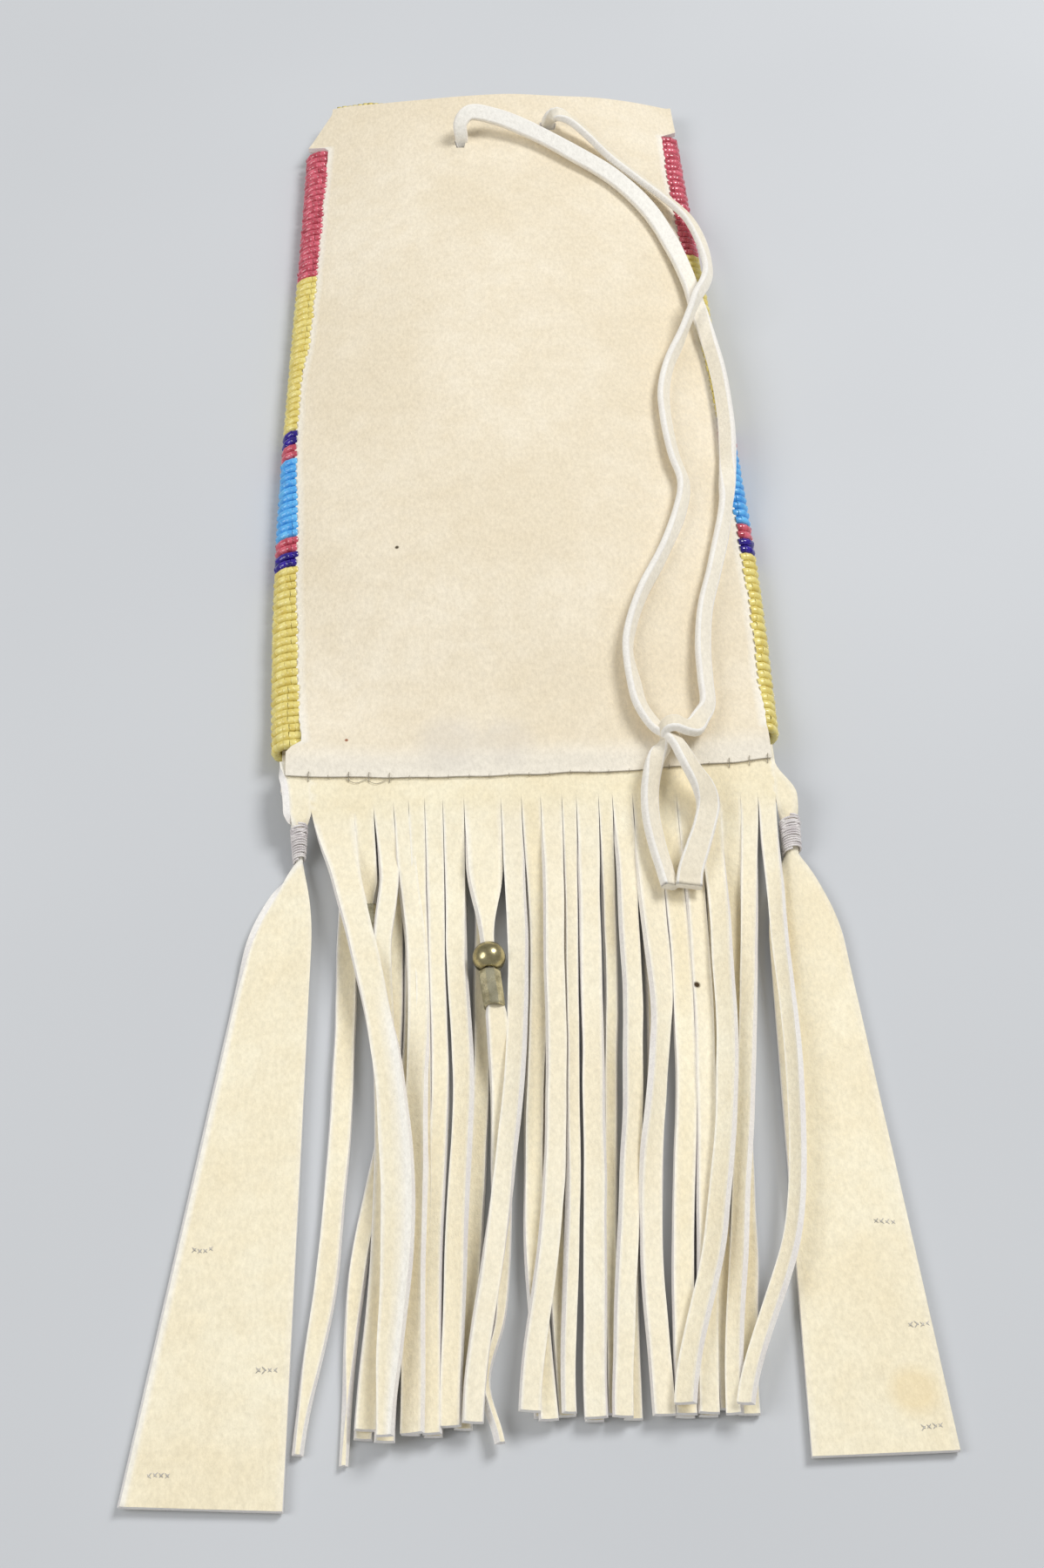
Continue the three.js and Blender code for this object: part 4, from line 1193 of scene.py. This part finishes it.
def crease(tab, u, below):
    """Rise of the fold that runs down from a tab's neck."""
    reach = below / tab["crease_length"]
    if reach > 1:
        return 0.0
    beside = (u - lerp(*tab["crease"], reach)) / CREASE_WIDTH
    return CREASE_HEIGHT * math.exp(-beside * beside) * ease(below, 0, 3) * (1 - ease(reach, 0.5, 1))


def tab_point(tab, u, below):
    """Middle of a tab's hide at share u across it and at a distance below its gather."""
    bottom_y, _, bottom_z = tab_neck(tab)
    spread = 1 - max(0, 1 - below / SHOULDER_LENGTH) ** 2.2
    fall = below / tab["length"]
    ends = lerp(tab["top"][0], tab["bottom"][0], fall), lerp(tab["top"][1], tab["bottom"][1], fall)
    wide, curl = curled(tab, ends, u, lerp(*tab["curl"], ease(below, 8, 35)) * ease(below, 1, 9))
    narrow, lift = rolled_neck(tab, u, tab["neck"][1])
    open_share = ease(below, 0, 2 * SHOULDER_LENGTH)
    wave = 1 - math.cos(2 * math.pi * tab["waves"] * (u + 0.1))
    ruffle = 2 * tab["ruffle"] * wave * open_share * (1 - open_share) + crease(tab, u, below)
    ribs = TAB_RIBS * wrinkle(wide / 5, below, 1.8, 6.1) * ease(fall, 0.3, 0.8)
    uneven = TAB_UNEVEN * (1 + wrinkle(wide, below, 16, 4.4)) + ribs
    y = bottom_y + NECK_RADIUS - below - tab["slant"] * (u - 0.5) * fall
    z = lerp(bottom_z + lift, FLOOR_GAP + HIDE / 2 + uneven + ruffle + curl, spread)
    return lerp(narrow, wide, spread), y, z


def tab_columns(tab):
    """Shares across a tab, closer together towards its curled outer edge."""
    shares = np.concatenate((np.linspace(0, 0.2, 9), np.linspace(0.2, 1, 15)[1:]))
    return shares if tab["out"] < 0 else 1 - shares[::-1]


def band_end(tab, y):
    """Outer edge of the upper band, which is drawn in towards a tab's neck from a height on down."""
    beside, start = tab["band_end"]
    end = tab["neck_x"] + tab["out"] * beside
    return lerp(tab["out"] * hide_edge(0), end, ease(-y, -start, ROOT_DEPTH))


def tab_grid(tab, inner_x):
    """Grid of one tab: the end of the band, its rolled neck, and the flared tab."""
    shares = tab_columns(tab)
    bottom_y, top_z, bottom_z = tab_neck(tab)
    rows, fullness = [], []
    for y in BAND_ROWS:
        ends = sorted((band_end(tab, y), inner_x))
        z = hide_height(UPPER_LEVEL, 1, y) + HIDE / 2
        band = [curled(tab, ends, u, tab["band_curl"] * ease(-y, -TUCK, 1)) for u in shares]
        rows.append([(x, y, z + rise) for x, rise in band])
        fullness.append(1.0)
    last = rows[-1]
    neck_top = -ROOT_DEPTH - tab["wrap_drop"]
    neck_end = bottom_y + NECK_RADIUS
    for y in np.linspace(-ROOT_DEPTH, neck_end, 16)[1:]:
        close = ease(-y, ROOT_DEPTH, -neck_top + 1)
        down = (y + ROOT_DEPTH) / (neck_end + ROOT_DEPTH)
        row = []
        for u, (x, _, z) in zip(shares, last):
            to_x, lift = rolled_neck(tab, u, lerp(*tab["neck"], down))
            row.append((lerp(x, to_x, close), y, lerp(z, lerp(top_z, bottom_z, down) + lift, close)))
        rows.append(row)
        fullness.append(lerp(1, NECK_FULLNESS, close))
    steps = round(tab["length"] / TAB_STEP)
    for i in range(1, steps + 1):
        below = tab["length"] * i / steps
        rows.append([tab_point(tab, u, below) for u in shares])
        fullness.append(lerp(NECK_FULLNESS, 1, ease(below, 0, 8)))
    grid = np.array(rows)
    outer, inner = (0, -1) if tab["out"] < 0 else (-1, 0)
    from_outer, from_inner = (np.abs(grid[:, :, 0] - grid[:, [edge], 0]) for edge in (outer, inner))
    tones = 0.1 + tab["rim"] * (1 - ease(from_outer, 0.3, 1.5)) + 0.25 * (1 - ease(from_inner, 0.1, 0.9))
    return grid, np.minimum(tones, 1.0), np.array(fullness)[:, None]


def upper_roots():
    lefts = [FRINGE_LEFT]
    for strand in UPPER_STRANDS:
        lefts.append(lefts[-1] + strand[0])
    return lefts


def add_upper_fringe():
    roots = upper_roots()
    tops = (ROOT_DEPTH, *SLIT_TOPS, ROOT_DEPTH)
    grids = []
    for index, (cut, layer, drift, extra, rolls, tone) in enumerate(UPPER_STRANDS):
        grid, tones, fullness = strand_grid(
            (UPPER_LEVEL, 1, layer), roots[index], cut, tops[index:index + 2], drift, STRAND_LENGTH + extra,
            rolls, lambda distance, i=index, c=cut: strand_width(i, c, distance),
            lambda distance, z, i=index: strand_lift(i, distance, z), tone, index * 7.3,
        )
        if index == WIDE_STRAND:
            tones = np.maximum(tones, FOLD_TONES * ease(-grid[:, :1, 1], ROOT_DEPTH + 32, ROOT_DEPTH + 52))
        grids.append((grid, tones, fullness))
    grids.extend(tab_grid(tab, root) for tab, root in zip(TABS, (roots[0], roots[-1])))
    piece = hide_piece("upper_fringe_hide", grids, [FRINGE_HIDE, HIDE_EDGE], ["upper_fringe"])


def add_lower_fringe():
    """The second layer of strands, with its band running on between them and past the last."""
    roots = [strand[0] for strand in LOWER_STRANDS]
    lefts = [root - LOWER_WIDTH / 2 for root in roots]
    ends = [*lefts[1:], roots[-1] + LOWER_BAND_END]
    grids = []
    for index, (_, drift, extra) in enumerate(LOWER_STRANDS):
        grids.append(strand_grid(
            (SIDE_LEVEL, 0, 0), lefts[index], LOWER_WIDTH, (ROOT_DEPTH, ROOT_DEPTH), drift,
            STRAND_LENGTH + extra, (0, 3, 4, -3, 2), lambda distance, i=index: lower_width(i, distance),
            lambda distance, z: z, 0.1, index * 5.9 + 200,
        ))
        grids.append(band_grid(lefts[index] + LOWER_WIDTH, ends[index]))
    piece = hide_piece("lower_fringe_hide", grids, [FRINGE_HIDE, HIDE_EDGE], ["lower_fringe"])


def lower_width(index, distance):
    """Width of a lower strand: the left one lies broad, and it and the next run out to thin tips."""
    if index == 0:
        wide = lerp(LOWER_WIDTH, 4.0, ease(distance, 15, 35))
        return lerp(wide, 1.6, ease(distance, 95, 123))
    if index == 1:
        return lerp(LOWER_WIDTH, 0.7, ease(distance, 88, 124))
    return LOWER_WIDTH


def band_grid(left, right):
    """Grid of the lower hide's band between two strands."""
    rows = []
    for y in BAND_ROWS:
        z = hide_height(SIDE_LEVEL, 0, y) + HIDE / 2
        rows.append([(left, y, z), (right, y, z)])
    return np.array(rows), 0.1, 1.0


add_upper_fringe()
add_lower_fringe()


# Brass


def brass_piece(name, points, faces, node, made):
    piece = new_piece(name, points, faces, [made], [node])
    piece.data.set_sharp_from_angle(angle=math.radians(24))
    return piece


def on_strand(index, distance, lift):
    cut, _, drift, extra, _, _ = UPPER_STRANDS[index]
    x = upper_roots()[index] + cut / 2 + float(through((0, *drift), distance / (STRAND_LENGTH + extra)))
    return np.array((x, -ROOT_DEPTH - distance, lift))


def round_bead():
    limit = math.acos(BEAD_BORE / BEAD_RADIUS)
    profile = []
    for i in range(25):
        angle = lerp(-limit, limit, i / 24)
        profile.append((BEAD_RADIUS * math.cos(angle), BEAD_RADIUS * math.sin(angle)))
    return turned(profile, 48)


def tube_bead():
    """Tube with flat sides, turned-in ends and a few dents."""
    profile = [
        (BEAD_BORE, 0.1), (TUBE_RADIUS - 0.3, 0), (TUBE_RADIUS - 0.08, 0.14), (TUBE_RADIUS, 0.4),
        *[(TUBE_RADIUS, lerp(0.6, TUBE_LENGTH - 0.6, i / 10)) for i in range(11)],
        (TUBE_RADIUS, TUBE_LENGTH - 0.4), (TUBE_RADIUS - 0.08, TUBE_LENGTH - 0.14),
        (TUBE_RADIUS - 0.3, TUBE_LENGTH), (BEAD_BORE, TUBE_LENGTH - 0.1),
    ]
    points, faces = turned(profile, 32)
    half = math.pi / TUBE_SIDES
    for point in points:
        angle = math.atan2(point[0], point[2])
        flat = math.cos(half) / math.cos((angle + half) % (2 * half) - half)
        dent = 1 + TUBE_DENTS * wrinkle(angle * 2.2, point[1], 2.5, 3.9)
        point[0] *= flat * dent
        point[2] *= flat * dent
    return points, faces


def add_brass():
    middle = on_strand(BEADED_STRAND, BEAD_DISTANCE, BEAD_LIFT)
    points, faces = round_bead()
    brass_piece("round_bead", points + middle - (0, BEAD_RADIUS, 0), faces, "round_brass_bead", BRASS)
    points, faces = tube_bead()
    leaning = points + (middle - (0, 2 * BEAD_RADIUS + TUBE_LENGTH, 0))
    leaning[:, 0] += TUBE_LEAN * (TUBE_LENGTH - points[:, 1])
    brass_piece("middle_tube", leaning, faces, "middle_tube_bead", TUBE_BRASS)
    left = on_strand(TUBE_STRAND, TUBE_END, TUBE_LIFT)
    left[0] = on_strand(TUBE_STRAND, TUBE_DISTANCE, TUBE_LIFT)[0]
    brass_piece("left_tube", points + left, faces, "left_tube_bead", TUBE_BRASS)


add_brass()


# Thread


def add_neck_wrap(tab):
    """Thread wound close round a tab's neck, with a loose end that squirms over the turns."""
    bottom_y, top_z, bottom_z = tab_neck(tab)
    top = -ROOT_DEPTH - tab["wrap_drop"]

    def on_wrap(y, angle, lift):
        down = (y + ROOT_DEPTH) / (bottom_y + NECK_RADIUS + ROOT_DEPTH)
        radius = lerp(*tab["neck"], down) + NECK_FULLNESS * HIDE / 2 + 0.05 + lift
        z = lerp(top_z, bottom_z, down) + radius * math.cos(angle)
        return tab["neck_x"] + radius * math.sin(angle), y, z

    steps = WRAP_TURNS * TURN_STEPS
    path = []
    for i in range(steps + 1):
        angle = 2 * math.pi * WRAP_TURNS * i / steps
        y = top - WRAP_LENGTH * i / steps + 0.3 * math.sin(angle) + 0.15 * wrinkle(angle, 0, 3, 7.1)
        path.append(on_wrap(y, angle, WRAP_THREAD + 0.14 * (1 + wrinkle(angle, 3, 2.3, 1.9))))
    loose = [on_wrap(top - 0.7 - 0.32 * k, 0.9 * (-1) ** k, 0.55 + 0.2 * (k % 3)) for k in range(8)]
    points, faces = joined([tube(path, WRAP_THREAD), tube(smooth_path(loose, 0.3), 0.6 * WRAP_THREAD)])
    new_piece(f"{tab['side']}_neck_thread", points, faces, [WRAPPING], [f"{tab['side']}_neck_wrap"])


def add_tab_stitches(tab):
    """Tie-off stitches: a row of small crosses of fine thread."""
    for index, (u, v) in enumerate(tab["stitches"]):
        x, y, z = tab_point(tab, u, tab["length"] * (1 - v) ** 1.5)
        z += HIDE / 2
        parts = []
        for k in range(TIE_CROSSES):
            middle = x + TIE_PITCH * (k - (TIE_CROSSES - 1) / 2)
            for way in (-1, 1):
                lean = rng.uniform(-0.25, 0.25)
                arc = [
                    (middle - TIE_REACH, y - way * TIE_CLIMB + lean, z - 0.12), (middle, y + lean, z + 0.1),
                    (middle + TIE_REACH, y + way * TIE_CLIMB + lean, z - 0.12),
                ]
                parts.append(tube(smooth_path(arc, 0.25), TIE_THREAD, 5))
        points, faces = joined(parts)
        name = f"{tab['side']}_tab_stitch_{index + 1}"
        new_piece(f"{name}_thread", points, faces, [TYING], [name])


def seam_edge(x):
    """The back panel's lower edge at a place across the bag."""
    left, right = back_edge(-1, 0), back_edge(1, 0)
    return seam_line(2 * (x - left) / (right - left) - 1)


def add_seam_thread():
    """Whip stitches over the back panel's thin lower edge, a fine thread along it and two loose loops."""
    left, right = back_edge(-1, 0), back_edge(1, 0)
    low, top = SEAM_LEVEL, SEAM_LEVEL + 0.35 * HIDE
    first = left + FIRST_STITCH
    count = int((right - first) / STITCH_PITCH)
    along = [(x, seam_edge(x) - 0.16, low + 0.12) for x in np.linspace(left + 0.2, right - 0.3, 90)]
    parts = [tube(along, SEAM_THREAD)]
    for i in range(count + 1):
        x = first + i * STITCH_PITCH + rng.uniform(-0.2, 0.2)
        y = seam_edge(x)
        shown = i in SHOWN_STITCHES or i > count - 3
        reach = 0.8 if shown else 0.12
        stitch = [
            (x, y - 0.2 - reach, low - 0.15), (x, y - 0.3, low + 0.18), (x + 0.03, y - 0.05, top + 0.12),
            (x + 0.06, y + 0.5 * reach, top + 0.2), (x + 0.08, y + reach, top + 0.1),
        ]
        parts.append(tube(smooth_path(stitch, 0.2), (1.6 if shown else 1.0) * SEAM_THREAD))
    for start, end in SEAM_LOOPS:
        middle = (start + end) / 2
        loop = [
            (start, seam_edge(start) - 0.6, low), (middle, seam_edge(middle) - 1.4, low - 0.05),
            (end, seam_edge(end) - 0.6, low),
        ]
        parts.append(tube(smooth_path(loop, 0.3), SEAM_THREAD))
    points, faces = joined(parts)
    new_piece("seam_thread", points, faces, [SEWING], ["bottom_seam_thread"])


for made_tab in TABS:
    add_neck_wrap(made_tab)
    add_tab_stitches(made_tab)
add_seam_thread()


# Floor and light


def add_floor():
    size = FLOOR_SIZE
    mesh = bpy.data.meshes.new("floor")
    corners = [(-size, -size), (size, -size), (size, size), (-size, size)]
    mesh.from_pydata([(x, y, -0.1 * MM) for x, y in corners], [], [(0, 1, 2, 3)])
    made = Nodes("floor_paper")
    patches = made.ramp(made.noise(6, 2), 0.3, 0.7)
    made.set(Base_Color=made.mix(patches, colour(206, 209, 213), colour(201, 204, 208)), Roughness=0.9)
    mesh.materials.append(made.material)
    floor = in_scene("floor", mesh)


def add_lamp(name, at, size, power):
    data = bpy.data.lights.new(name, "AREA")
    data.shape = "DISK"
    data.size = size
    data.energy = power
    lamp = in_scene(name, data)
    lamp.location = at
    lamp.rotation_euler = (-Vector(at)).to_track_quat("-Z", "Y").to_euler()


def add_light():
    world = bpy.data.worlds.new("studio")
    world.use_nodes = True
    sky = world.node_tree.nodes["Background"]
    sky.inputs["Color"].default_value = SKY_TINT
    sky.inputs["Strength"].default_value = SKY_STRENGTH
    bpy.context.scene.world = world
    for lamp in LAMPS:
        add_lamp(*lamp)


add_floor()
add_light()
bpy.context.scene.view_settings.view_transform = "Standard"
